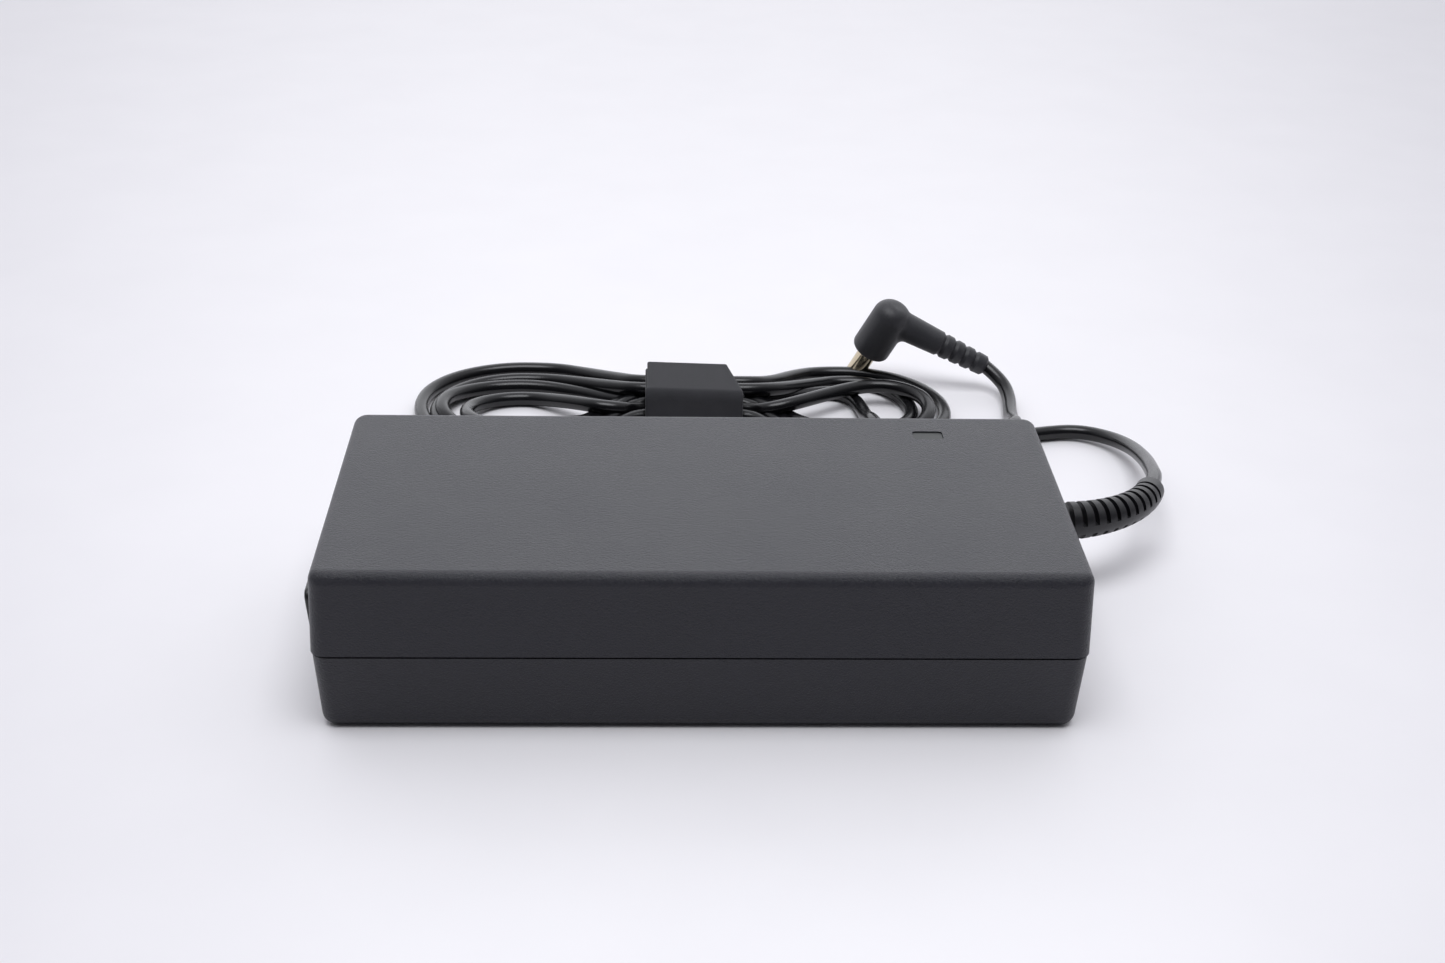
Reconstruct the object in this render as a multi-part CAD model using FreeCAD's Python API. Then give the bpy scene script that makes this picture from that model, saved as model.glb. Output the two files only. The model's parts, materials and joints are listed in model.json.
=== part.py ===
import FreeCAD, Part
import math
import os

# A laptop power adapter: a two-shell housing with a mains inlet at its left end, a bend relief and
# a DC cord at its right end, and the cord wound into a tied hank behind it, ending in a barrel plug.
# Millimetres, Z up. The model is worked out about the middle of the housing's underside, and every
# piece is then moved by SHIFT, so that the origin is under the middle of the housing with its inlet.

V = FreeCAD.Vector

# Housing
LENGTH = 161.2          # overall, at the parting line
WIDTH = 78.7
HEIGHT = 37.2
WALL = 2.2
CORNER_RADIUS = 3.2
TOP_FILLET = 2.5
BOTTOM_FILLET = 2.8
UPPER_DRAFT = 1.8       # degrees
LOWER_TAPER = 3.6
PARTING_Z = 18.1
PARTING_GAP = 0.5
LOWER_INSET = 0.25
LIP = 1.0
TONGUE = 1.0
TONGUE_LENGTH = 1.9
LABEL_RECESS = (118.0, 52.0, 4.0, 0.3)   # length, width, corner radius, depth
CEILING_RIB = (1.2, 60.0, 0.5)           # thickness, length, height
CEILING_RIB_PLACES = (-50.0, 0.0, 46.0)

# Clearances
FIT = 0.05
SEAT = 0.1
SLIDE = 0.3

# Mains inlet, in the left end wall
INLET_PROUD = 1.2        # at the top of its rim
INLET_LEAN = 5.3         # degrees
INLET_FROM_FRONT = 20.0
INLET_Z = 20.0
INLET_RIM = (28.0, 20.0, 2.0)            # width, height, corner radius
INLET_BODY = (26.0, 18.4, 1.0)
INLET_FLANGE = (30.4, 22.4, 1.0)
INLET_FLANGE_THICKNESS = 1.4
INLET_WELL = (24.0, 16.5, 4.5)           # width, height, corner cut beside the earth blade
INLET_EDGE = 0.6
INLET_WELL_DEPTH = 16.2
INLET_BACK = 2.2
BLADE = (2.0, 4.0)                       # thickness, height
BLADE_SPREAD = 7.0
BLADE_ROW = 2.0
BLADE_SETBACK = 3.2
BLADE_TAIL = 1.6
BLADE_OVERHANG = 3.6

# Indicator, in the top
INDICATOR = (7.0, 4.2, 0.9)              # length, width, corner radius
INDICATOR_FROM_RIGHT = 27.2
INDICATOR_FROM_REAR = 11.6
INDICATOR_HEAD = 0.8
INDICATOR_SINK = 0.25
GUIDE = (5.2, 2.4)
LED = (3.4, 2.6, 1.2)

# Sheets under and over the electronics
SPREADER_THICKNESS = 0.8
FILM_THICKNESS = 0.4
SPREADER_SIDE_GAP = 0.7
SPREADER_END_GAP = 5.0
SPREADER_LOW_EDGE = 15.0
FILM_LOW_EDGE = 11.0
FOLD_RADIUS = 1.6
LOWER_SHEET_GAP = 1.6

# Circuit board
BOARD_Z = 6.4
BOARD_THICKNESS = 1.6
BOARD_SIDE_GAP = 2.5
BOARD_END_GAP = 2.3
BOSS_RADIUS = 2.2
BOSS_HOLE_GAP = 0.5
BOSS_FROM_END = 9.0
BOSS_FROM_EDGE = 4.0
ISOLATION_SLOT = (1.6, 20.0)             # width, length

# Electronics on the board: block sizes are length, width, height
FUSE = (8.4, 4.2, 8.0)
THERMISTOR = (5.5, 4.0)                  # radius, thickness
Y_CAPACITOR = (3.8, 3.0)
DISC_LIFT = 1.4
X_CAPACITOR = (18.0, 10.0, 16.0)
CHOKE_AT = (28.5, -14.5)                 # from the mains end, and across the board
CHOKE_CORE = (6.2, 10.0, 8.0)            # inner radius, outer radius, height
CHOKE_WINDING = 1.3
CHOKE_SPLIT = 7.0
RECTIFIER = (20.0, 4.0, 15.0, 2.5)       # length, thickness, height, cut corner
RECTIFIER_LIFT = 2.0
INDUCTOR = ((24.0, 14.0, 21.0), 4.5, 4.4)    # core size, leg, how far the coil bulges
INDUCTOR_AT = (55.5, -16.5)
TRANSFORMER = ((30.0, 16.0, 23.0), 5.5, 5.0)
TRANSFORMER_AT = (11.5, -16.5)
CORE_LIFT = 0.6
PRIMARY_SINK = ((50.0, 2.4, 22.0), (-9.0, 1.6))
SECONDARY_SINK = ((30.0, 2.4, 22.0), (24.0, 1.6))    # the place is from the low-voltage end
SINK_FOOT = (6.0, 1.5)                   # width, thickness
SINK_NOTCH = (5.0, 3.0)                  # width, depth
PACKAGE = (10.0, 4.4, 15.5)              # a power transistor
BULK = (9.0, 34.0, 21.0, 21.5)           # radius, length, and its place
CHIP = (6.0, 4.8, 1.6)
COUPLER = (6.4, 4.6, 3.4)
OUTPUT_CHOKE = (5.2, 4.0, 11.0, 1.6)     # rim radius, core radius, height, rim thickness
OUTPUT_CAN = (4.0, 18.0, 10.0, 12.0)     # radius, height, pitch along and across
WIRE = (0.9, 1.4, 6.0)                   # radius, distance off the middle, how far it runs in

# Bend relief, in the right end wall
RELIEF_FROM_REAR = 17.2
RELIEF_Z = 17.7
RELIEF_BASE_RADIUS = 4.7
RELIEF_END_RADIUS = 3.5
RELIEF_NECK_RADIUS = 4.1
RELIEF_FLANGE_RADIUS = 5.6
RELIEF_FLANGE_THICKNESS = 2.0
RELIEF_STRAIGHT = 1.6
RELIEF_BEND_RADIUS = 30.8
RELIEF_TURN = 68.0      # degrees
RELIEF_DROOP = 4.5
RELIEF_SLOTS = 11
RELIEF_SLOT_WIDTH = 1.2
RELIEF_BASE_COLLAR = 4.4
RELIEF_END_COLLAR = 4.2
RELIEF_TOP_CUT = 0.1    # slot floor, in radii above the axis
RELIEF_BOTTOM_CUT = 0.4
RELIEF_CHAMFER = 0.5

# DC cord: the points of its route that are not wound, chosen from the photograph
CORD_DIAMETER = 3.9
LEAD_POINTS = ((115.5, 57.6, 13.4), (118.0, 73.4, 8.6), (118.0, 88.1, 5.0), (114.2, 98.3, 3.0),
               (106.4, 104.0, 2.2), (95.9, 102.7, 2.0), (85.6, 98.4, 2.05), (76.3, 94.6, 2.0),
               (65.9, 93.7, 2.0))
TAIL_POINTS = ((90.3, 132.5, 4.9), (91.5, 125.0, 2.6), (91.5, 116.5, 2.05), (91.0, 108.5, 2.6),
               (88.6, 100.0, 6.8), (83.6, 93.2, 6.6), (77.5, 88.2, 4.0), (68.9, 84.9, 2.3),
               (59.8, 87.4, 3.6), (52.5, 93.9, 4.6))

# Hank: outlines of its closed solid, from above
HANK_Z = 0.05
HANK_TOP = 7.9
HANK_OUTLINE = ((-12.3, 109.3), (-36.1, 93.7), (-58.8, 90.8), (-74.2, 100.1), (-75.7, 121.5),
                (-67.7, 140.0), (-49.9, 144.3), (-32.1, 139.4), (-12.3, 125.7), (13.4, 125.6),
                (24.2, 136.9), (34.1, 143.6), (43.5, 142.6), (50.5, 137.2), (65.0, 133.0),
                (74.2, 117.4), (71.8, 100.8), (59.0, 90.6), (44.1, 90.2), (29.3, 96.0), (13.4, 109.3))
LEFT_EYE = ((-24.2, 116.6), (-39.0, 126.8), (-52.4, 126.3), (-56.8, 116.6), (-50.9, 106.9), (-37.1, 106.8))
RIGHT_EYE = ((25.3, 116.5), (35.2, 106.7), (49.0, 105.3), (56.9, 114.5), (50.4, 126.2), (37.1, 126.7))

# Strap round the hank
STRAP_LENGTH = 27.2      # along the cord it ties
STRAP_X = 1.5
STRAP_THICKNESS = 1.3
BUNDLE_WIDTH = 17.5
BUNDLE_HEIGHT = 7.8
BUNDLE_Y = 117.4
STRAP_ROUNDING = 2.2
STRAP_TAIL_LENGTH = 17.9
STRAP_TAIL_INSET = 0.5
STRAP_TAIL_CORNER = 1.0
STRAP_TAIL_SLANT = 3.8   # how much shorter its end is than its root

# Right-angle plug
PLUG_TIP = V(48.7, 144.1, 1.4)
PLUG_AXIS = V(-0.40, 0.26, -0.879)      # from the head towards the tip
NECK_AXIS = V(0.909, -0.081, -0.41)
HEAD_RADIUS = 5.6
HEAD_LENGTH = 17.4
HEAD_DOME = 4.2
HEAD_FOOT_ROUND = 1.3
NECK_BLEND = 2.2
NECK_FROM_FOOT = 12.4
NECK_LENGTH = 31.0
NECK_RADIUS = 4.3
NECK_END_RADIUS = 2.9
NECK_GROOVES = 4
NECK_GROOVE_PITCH = 3.4
NECK_GROOVE = (1.7, 0.65)                # width, depth
NECK_BULB = 3.2
BARREL_RADIUS = 2.75
BARREL_BORE_RADIUS = 1.25
BARREL_WALL = 0.4
CONTACT_WALL = 0.3
BARREL_LENGTH = 9.5
BARREL_ROOT = (3.15, 3.9)                # radius and length of the collar moulded into the head
CONTACT_DEPTH = 9.0
CONTACT_SETBACK = 0.4

# Worked out from the sizes above
UPPER_EDGE_Z = PARTING_Z + PARTING_GAP / 2
LOWER_EDGE_Z = PARTING_Z - PARTING_GAP / 2
SHIFT = V(INLET_PROUD / 2, 0, 0)
INLET_Y = -WIDTH / 2 + INLET_FROM_FRONT
INLET_FRONT = -LENGTH / 2 - INLET_PROUD
RELIEF_Y = WIDTH / 2 - RELIEF_FROM_REAR
INDICATOR_X = LENGTH / 2 - INDICATOR_FROM_RIGHT
INDICATOR_Y = WIDTH / 2 - INDICATOR_FROM_REAR
BOARD_TOP = BOARD_Z + BOARD_THICKNESS
CORD_RADIUS = CORD_DIAMETER / 2


def housing_half(z):
    """Half length and half width of the housing's outside at height z."""
    if z >= PARTING_Z:
        inset = (z - PARTING_Z) * math.tan(math.radians(UPPER_DRAFT))
    else:
        inset = LOWER_INSET + (PARTING_Z - z) * math.tan(math.radians(LOWER_TAPER))
    return LENGTH / 2 - inset, WIDTH / 2 - inset


BOARD_HALF = (housing_half(BOARD_Z)[0] - WALL - BOARD_END_GAP,
              housing_half(BOARD_Z)[1] - WALL - BOARD_SIDE_GAP)


def box(x0, x1, y0, y1, z0, z1):
    """Block between two corners."""
    return Part.makeBox(x1 - x0, y1 - y0, z1 - z0, V(x0, y0, z0))


def block_at(size, x, y, z=BOARD_TOP):
    """Block of a given size that stands at height z, centred on x, y."""
    length, width, height = size
    return Part.makeBox(length, width, height, V(x - length / 2, y - width / 2, z))


def rounded_loop(points, rounding):
    """Closed wire through the corners, each rounded by a tangent arc; 0 leaves a corner sharp."""
    count = len(points)
    radii = rounding if isinstance(rounding, (list, tuple)) else [rounding] * count
    starts, middles, ends = [], [], []
    for i in range(count):
        corner = points[i]
        back = (points[i - 1] - corner).normalize()
        onward = (points[(i + 1) % count] - corner).normalize()
        half = back.getAngle(onward) / 2
        reach = radii[i] / math.tan(half)
        bisector = (back + onward).normalize()
        starts.append(corner + back * reach)
        middles.append(corner + bisector * (radii[i] / math.sin(half) - radii[i]))
        ends.append(corner + onward * reach)
    edges = []
    for i in range(count):
        if radii[i] > 0:
            edges.append(Part.Arc(starts[i], middles[i], ends[i]).toShape())
        edges.append(Part.LineSegment(ends[i], starts[(i + 1) % count]).toShape())
    return Part.Wire(edges)


def rectangle_xy(length, width, radius, z, x=0.0, y=0.0):
    """Round-cornered rectangle at height z."""
    a, b = length / 2, width / 2
    corners = [V(x + a, y + b, z), V(x - a, y + b, z), V(x - a, y - b, z), V(x + a, y - b, z)]
    return rounded_loop(corners, radius)


def rectangle_yz(width, height, radius, x, y, z):
    """Round-cornered rectangle that faces along X."""
    a, b = width / 2, height / 2
    corners = [V(x, y + a, z + b), V(x, y - a, z + b), V(x, y - a, z - b), V(x, y + a, z - b)]
    return rounded_loop(corners, radius)


def prism(loop, direction):
    """Solid swept straight from a closed wire."""
    return Part.Face(loop).extrude(direction)


def turned(profile, base, axis):
    """Solid of revolution: the profile is (distance along the axis, radius) from the base."""
    points = [V(radius, 0, along) for along, radius in profile]
    solid = Part.Face(Part.makePolygon(points + points[:1])).revolve(V(0, 0, 0), V(0, 0, 1), 360)
    solid.Placement = FreeCAD.Placement(base, FreeCAD.Rotation(V(0, 0, 1), axis))
    return solid


def cord_wire(name, points):
    """Open wire of straight runs joined by tangent arcs, each as large as its two runs allow."""
    edges = []
    radii = []
    start = points[0]
    for i in range(1, len(points) - 1):
        back = points[i - 1] - points[i]
        onward = points[i + 1] - points[i]
        shorter = min(back.Length, onward.Length)
        half_turn = (math.pi - back.getAngle(onward)) / 2
        reach = 0.45 * shorter
        radius = reach / math.tan(half_turn)
        radii.append(round(radius, 1))
        back.normalize()
        onward.normalize()
        first = points[i] + back * reach
        last = points[i] + onward * reach
        inward = (back + onward).normalize()
        middle = points[i] + inward * (radius / math.cos(half_turn) - radius)
        edges.append(Part.LineSegment(start, first).toShape())
        edges.append(Part.Arc(first, middle, last).toShape())
        start = last
    edges.append(Part.LineSegment(start, points[-1]).toShape())
    print(name, "bend radii", radii)
    return Part.Wire(edges)


def tube(name, points, radius):
    """Round solid along a cord wire, with its volume held against section times length."""
    wire = cord_wire(name, points)
    direction = points[1] - points[0]
    section = Part.Face(Part.Wire(Part.makeCircle(radius, points[0], direction)))
    solid = wire.makePipe(section)
    expected = math.pi * radius ** 2 * wire.Length
    print(name, "length", round(wire.Length, 1), "volume over section times length",
          round(solid.Volume / expected, 4))
    return solid


def side_loop(z, inset):
    """The housing's outline at height z, moved in by inset."""
    half_length, half_width = housing_half(z)
    radius = max(CORNER_RADIUS - inset, 1.0)
    return rectangle_xy(2 * (half_length - inset), 2 * (half_width - inset), radius, z)


def housing_block(z_low, z_high, inset=0.0):
    """Solid that follows the housing's drafted sides between two heights."""
    return Part.makeLoft([side_loop(z_low, inset), side_loop(z_high, inset)], True, True)


def parting_ring(outer_inset, inner_inset, z_low, z_high):
    """Upright ring that follows the parting line."""
    rings = []
    for inset in (outer_inset, inner_inset):
        length = LENGTH - 2 * (LOWER_INSET + inset)
        width = WIDTH - 2 * (LOWER_INSET + inset)
        loop = rectangle_xy(length, width, max(CORNER_RADIUS - inset, 1.0), z_low)
        rings.append(prism(loop, V(0, 0, z_high - z_low)))
    return rings[0].cut(rings[1])


def edges_at_height(solid, z):
    """Edges that lie level at height z."""
    return [edge for edge in solid.Edges if all(abs(v.Z - z) < 0.01 for v in edge.Vertexes)]


def wall_openings():
    """What both shells leave free: the inlet's way in and the relief's way out."""
    width, height, radius = INLET_RIM
    inlet_loop = rectangle_yz(width + 2 * SEAT, height + 2 * SEAT, radius, INLET_FRONT - 1, INLET_Y, INLET_Z)
    inlet = prism(inlet_loop, V(3 * WALL + INLET_PROUD + 3, 0, 0))
    relief = Part.makeCylinder(RELIEF_NECK_RADIUS + SEAT, 4 * WALL,
                               V(LENGTH / 2 - 3 * WALL, RELIEF_Y, RELIEF_Z), V(1, 0, 0))
    return [inlet, relief]


def boss_places():
    """Centres of the four bosses that carry the circuit board."""
    x = BOARD_HALF[0] - BOSS_FROM_END
    y = BOARD_HALF[1] - BOSS_FROM_EDGE
    return [(x * i, y * j) for i in (-1, 1) for j in (-1, 1)]


def top_cover():
    """Upper shell: drafted walls, a tongue that drops into the lower shell, and ceiling ribs."""
    shell = housing_block(UPPER_EDGE_Z, HEIGHT)
    shell = shell.makeFillet(TOP_FILLET, edges_at_height(shell, HEIGHT))
    shell = shell.cut(housing_block(UPPER_EDGE_Z, HEIGHT - WALL, WALL))
    tongue = parting_ring(LIP + FIT, LIP + FIT + TONGUE, LOWER_EDGE_Z - TONGUE_LENGTH, UPPER_EDGE_Z + 0.3)
    thickness, length, height = CEILING_RIB
    ribs = [block_at((thickness, length, height + 0.2), x, 0, HEIGHT - WALL - height)
            for x in CEILING_RIB_PLACES]
    shell = shell.fuse([tongue] + ribs)
    length, width, radius = INDICATOR
    depth = INDICATOR_HEAD + INDICATOR_SINK
    pocket = prism(rectangle_xy(length, width, radius, HEIGHT - depth, INDICATOR_X, INDICATOR_Y),
                   V(0, 0, depth + 1))
    hole = block_at((GUIDE[0] + 2 * SEAT, GUIDE[1] + 2 * SEAT, WALL + 2), INDICATOR_X, INDICATOR_Y,
                    HEIGHT - WALL - 1)
    return shell.cut(wall_openings() + [pocket, hole]).removeSplitter()


def bottom_cover():
    """Lower shell: tapered walls with a rebate for the tongue, bosses, and a shallow panel below."""
    shell = housing_block(0, LOWER_EDGE_Z)
    shell = shell.makeFillet(BOTTOM_FILLET, edges_at_height(shell, 0))
    shell = shell.cut(housing_block(WALL, LOWER_EDGE_Z, WALL))
    rebate = parting_ring(LIP, 6.0, LOWER_EDGE_Z - TONGUE_LENGTH - SEAT, LOWER_EDGE_Z)
    shell = shell.cut([rebate] + wall_openings())
    bosses = [Part.makeCylinder(BOSS_RADIUS, BOARD_Z - WALL + 0.3, V(x, y, WALL - 0.3))
              for x, y in boss_places()]
    shell = shell.fuse(bosses)
    length, width, radius, depth = LABEL_RECESS
    panel = prism(rectangle_xy(length, width, radius, -1), V(0, 0, 1 + depth))
    return shell.cut(panel).removeSplitter()


def ac_inlet_body():
    """Moulded inlet: a leaning rim through the wall, a flange, and a well with two cut corners."""
    flange_x = -housing_half(INLET_Z - INLET_FLANGE[1] / 2)[0] + WALL + SLIDE
    back_x = INLET_FRONT + INLET_WELL_DEPTH + INLET_BACK
    rim = prism(rectangle_yz(*INLET_RIM, INLET_FRONT, INLET_Y, INLET_Z), V(flange_x - INLET_FRONT, 0, 0))
    top = INLET_Z + INLET_RIM[1] / 2
    slope = math.tan(math.radians(INLET_LEAN))
    rim = rim.cut(inlet_lean(top, slope))
    front_edges = [edge for edge in rim.Edges
                   if all(abs(v.X - INLET_FRONT - (top - v.Z) * slope) < 0.01 for v in edge.Vertexes)]
    rim = rim.makeFillet(INLET_EDGE, front_edges)
    flange = prism(rectangle_yz(*INLET_FLANGE, flange_x, INLET_Y, INLET_Z), V(INLET_FLANGE_THICKNESS, 0, 0))
    body = prism(rectangle_yz(*INLET_BODY, flange_x, INLET_Y, INLET_Z), V(back_x - flange_x, 0, 0))
    width, height, cut = INLET_WELL
    a, b = width / 2, height / 2
    x = INLET_FRONT - 1
    outline = [(-a, -b), (a, -b), (a, b - cut), (a - cut, b), (cut - a, b), (-a, b - cut)]
    well = prism(rounded_loop([V(x, INLET_Y + y, INLET_Z + z) for y, z in outline], 0.8),
                 V(INLET_WELL_DEPTH + 1, 0, 0))
    slots = [block_at((8, BLADE[0] + 2 * FIT, BLADE[1] + 2 * FIT), back_x, y, z - BLADE[1] / 2 - FIT)
             for y, z in blade_places()]
    return rim.fuse([flange, body]).cut([well] + slots).removeSplitter()


def inlet_lean(top, slope):
    """Wedge that trims the rim's face, which stands out furthest at its top."""
    low = top - INLET_RIM[1] - 2
    points = [V(INLET_FRONT - 3, -WIDTH, top + 2), V(INLET_FRONT - 2 * slope, -WIDTH, top + 2),
              V(INLET_FRONT + (top - low) * slope, -WIDTH, low), V(INLET_FRONT - 3, -WIDTH, low)]
    return prism(Part.makePolygon(points + points[:1]), V(0, 2 * WIDTH, 0))


def blade_places():
    """Centres of the line, neutral and earth blades."""
    return [(INLET_Y - BLADE_SPREAD, INLET_Z - BLADE_ROW), (INLET_Y + BLADE_SPREAD, INLET_Z - BLADE_ROW),
            (INLET_Y, INLET_Z + BLADE_ROW)]


def inlet_blades():
    """Three flat blades whose tails turn down to the board behind the inlet."""
    blades = []
    front = INLET_FRONT + BLADE_SETBACK
    back = INLET_FRONT + INLET_WELL_DEPTH + INLET_BACK + BLADE_OVERHANG
    half = BLADE[1] / 2
    for y, z in blade_places():
        outline = [(front + 1.2, z - half), (front, z - half / 2), (front, z + half / 2),
                   (front + 1.2, z + half), (back, z + half), (back, BOARD_TOP),
                   (back - BLADE_TAIL, BOARD_TOP), (back - BLADE_TAIL, z - half)]
        points = [V(px, y - BLADE[0] / 2, pz) for px, pz in outline]
        blades.append(prism(Part.makePolygon(points + points[:1]), V(0, BLADE[0], 0)))
    return Part.makeCompound(blades)


def indicator_light_guide():
    """Clear window in the top, with a flat rod that leads the light up from the board."""
    length, width, radius = INDICATOR
    base = HEIGHT - INDICATOR_SINK - INDICATOR_HEAD
    head = prism(rectangle_xy(length - 2 * SEAT, width - 2 * SEAT, radius - SEAT, base,
                              INDICATOR_X, INDICATOR_Y), V(0, 0, INDICATOR_HEAD))
    foot = BOARD_TOP + LED[2] + SLIDE
    return head.fuse(block_at((*GUIDE, base - foot), INDICATOR_X, INDICATOR_Y, foot))


def indicator_led():
    """Small lamp on the board under the light guide."""
    return block_at(LED, INDICATOR_X, INDICATOR_Y)


def spreader_ends():
    """Where the long sheets start and stop, clear of the inlet's flange and the relief."""
    half = LENGTH / 2 - WALL - SPREADER_END_GAP
    return -half, half - 2.0


def channel(outside, thickness, z_top, z_low, x0, x1):
    """Sheet folded into an upside-down channel along X."""
    loops = []
    for inset in (0.0, thickness):
        half, top = outside - inset, z_top - inset
        radius = FOLD_RADIUS - inset
        corners = [V(x0, half, z_low), V(x0, half, top), V(x0, -half, top), V(x0, -half, z_low)]
        loops.append(prism(rounded_loop(corners, [0, radius, radius, 0]), V(x1 - x0, 0, 0)))
    return loops[0].cut(loops[1])


def guide_hole(z0, z1):
    """Way through a sheet for the light guide."""
    size = (GUIDE[0] + 4 * SLIDE, GUIDE[1] + 4 * SLIDE, z1 - z0)
    return block_at(size, INDICATOR_X, INDICATOR_Y, z0)


def inlet_notch():
    """Room round the inlet's body, cut from the sheets over it."""
    width, height, _ = INLET_FLANGE
    x1 = INLET_FRONT + INLET_WELL_DEPTH + INLET_BACK + 1
    return box(-LENGTH, x1, INLET_Y - width / 2, INLET_Y + width / 2, 0, INLET_Z + height / 2)


def upper_spreader_size():
    """Half width and top height of the upper heat spreader."""
    return housing_half(HEIGHT)[1] - WALL - SPREADER_SIDE_GAP, HEIGHT - WALL - CEILING_RIB[2] - FIT


def upper_heat_spreader():
    """Aluminium sheet folded over the electronics."""
    half, top = upper_spreader_size()
    x0, x1 = spreader_ends()
    sheet = channel(half, SPREADER_THICKNESS, top, SPREADER_LOW_EDGE, x0, x1)
    return sheet.cut([guide_hole(top - 3, top + 1), inlet_notch()])


def insulating_film():
    """Film folded inside the upper heat spreader."""
    half, top = upper_spreader_size()
    inset = SPREADER_THICKNESS + FIT
    x0, x1 = spreader_ends()
    sheet = channel(half - inset, FILM_THICKNESS, top - inset, FILM_LOW_EDGE, x0, x1)
    return sheet.cut([guide_hole(top - 4, top + 1), inlet_notch()])


def lower_sheet(z, thickness):
    """Flat sheet on the floor, with a square hole round each boss."""
    half_length = housing_half(WALL)[0] - WALL - LOWER_SHEET_GAP
    half_width = housing_half(WALL)[1] - WALL - LOWER_SHEET_GAP
    sheet = prism(rectangle_xy(2 * half_length, 2 * half_width, 2.0, z), V(0, 0, thickness))
    side = 2 * (BOSS_RADIUS + BOSS_HOLE_GAP)
    holes = [block_at((side, side, thickness + 2), x, y, z - 1) for x, y in boss_places()]
    return sheet.cut(holes)


def lower_heat_spreader():
    """Aluminium sheet on the floor of the lower shell."""
    return lower_sheet(WALL + SEAT, SPREADER_THICKNESS)


def bottom_insulating_sheet():
    """Insulation between the lower heat spreader and the solder side of the board."""
    return lower_sheet(WALL + 2 * SEAT + SPREADER_THICKNESS, FILM_THICKNESS)


def circuit_board():
    """Board on the four bosses, slotted between the mains side and the low-voltage side."""
    half_length, half_width = BOARD_HALF
    board = prism(rectangle_xy(2 * half_length, 2 * half_width, 1.5, BOARD_Z), V(0, 0, BOARD_THICKNESS))
    width, length = ISOLATION_SLOT
    slot = block_at((width, length, 4), half_length - 41.5, -half_width + 3 + length / 2, BOARD_Z - 1)
    return board.cut(slot)


def from_left(distance):
    """Place along the board, from its mains end."""
    return -BOARD_HALF[0] + distance


def from_right(distance):
    """Place along the board, from its low-voltage end."""
    return BOARD_HALF[0] - distance


def standing_disc(radius, thickness, x, y):
    """Round lead-mounted piece that stands on its edge, with two legs."""
    middle = DISC_LIFT + radius
    disc = Part.makeCylinder(radius, thickness, V(x, y - thickness / 2, BOARD_TOP + middle), V(0, 1, 0))
    legs = [block_at((0.8, 0.8, middle), x + side * radius / 2, y) for side in (-1, 1)]
    return disc.fuse(legs)


def fuse():
    """Mains fuse in its sleeve."""
    return block_at(FUSE, from_left(7.0), 1.5)


def thermistor():
    """Disc that limits the inrush current."""
    return standing_disc(*THERMISTOR, from_left(7.5), 10.5)


def y_capacitors():
    """Two discs from the mains lines to earth."""
    return Part.makeCompound([standing_disc(*Y_CAPACITOR, from_left(x), 27.5) for x in (6.0, 15.0)])


def x_capacitor():
    """Boxed capacitor across the mains lines."""
    return block_at(X_CAPACITOR, from_left(28.5), 25.0)


def ring(inner, outer, height, x, y, z):
    """Flat ring that stands at height z."""
    centre = V(x, y, z)
    return Part.makeCylinder(outer, height, centre).cut(Part.makeCylinder(inner, height, centre))


def common_mode_choke_core():
    """Ferrite ring of the mains choke."""
    inner, outer, height = CHOKE_CORE
    return ring(inner, outer, height, from_left(CHOKE_AT[0]), CHOKE_AT[1], BOARD_TOP + CHOKE_WINDING)


def common_mode_choke_windings():
    """Two windings, each wrapped round one side of the ring."""
    inner, outer, height = CHOKE_CORE
    x, y = from_left(CHOKE_AT[0]), CHOKE_AT[1]
    coil = ring(inner - CHOKE_WINDING, outer + CHOKE_WINDING, height + 2 * CHOKE_WINDING, x, y, BOARD_TOP)
    core = ring(inner - FIT, outer + FIT, height + 2 * FIT, x, y, BOARD_TOP + CHOKE_WINDING - FIT)
    gap = block_at((CHOKE_SPLIT, 40.0, 20.0), x, y)
    return Part.makeCompound(coil.cut([core, gap]).Solids)


def bridge_rectifier():
    """Flat rectifier that stands on edge, with one corner cut."""
    x, y = from_left(49.0), 27.0
    length, thickness, height, cut = RECTIFIER
    left, right, front = x - length / 2, x + length / 2, y - thickness / 2
    low = BOARD_TOP + RECTIFIER_LIFT
    high = low + height
    outline = [V(left, front, low), V(right, front, low), V(right, front, high - cut),
               V(right - cut, front, high), V(left, front, high)]
    body = prism(Part.makePolygon(outline + outline[:1]), V(0, thickness, 0))
    legs = [block_at((1.0, 0.8, RECTIFIER_LIFT + 0.5), x + dx, y) for dx in (-7.5, -2.5, 2.5, 7.5)]
    return body.fuse(legs)


def paired_core(size, leg, x, y):
    """Ferrite core of two halves that meet at mid height, with windows front and rear for the coil."""
    length, width, height = size
    halves = []
    for level in range(2):
        z = BOARD_TOP + CORE_LIFT + level * height / 2
        half = block_at((length, width, height / 2), x, y, z)
        window_z = z + leg / 2 if level == 0 else z
        deep = height / 2 - leg / 2
        clear = (length - 3 * leg) / 2
        windows = [block_at((clear, width + 2, deep), x + side * (leg + clear) / 2, y, window_z)
                   for side in (-1, 1)]
        halves.append(half.cut(windows))
    return Part.makeCompound(halves)


def paired_coil(size, leg, bulge, x, y):
    """Winding that fills the core's windows and bulges past its front and rear."""
    length, width, height = size
    z = BOARD_TOP + CORE_LIFT + leg / 2
    inner_length = length - 2 * leg
    outer = rectangle_xy(inner_length - 2 * SEAT, width + 2 * bulge, 3.0, z + SEAT, x, y)
    coil = prism(outer, V(0, 0, height - leg - 2 * SEAT))
    return coil.cut(block_at((leg + 2 * SEAT, width + 2 * SEAT, height), x, y, z))


def boost_inductor_core():
    """Core of the input stage's inductor."""
    return paired_core(INDUCTOR[0], INDUCTOR[1], from_left(INDUCTOR_AT[0]), INDUCTOR_AT[1])


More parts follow.
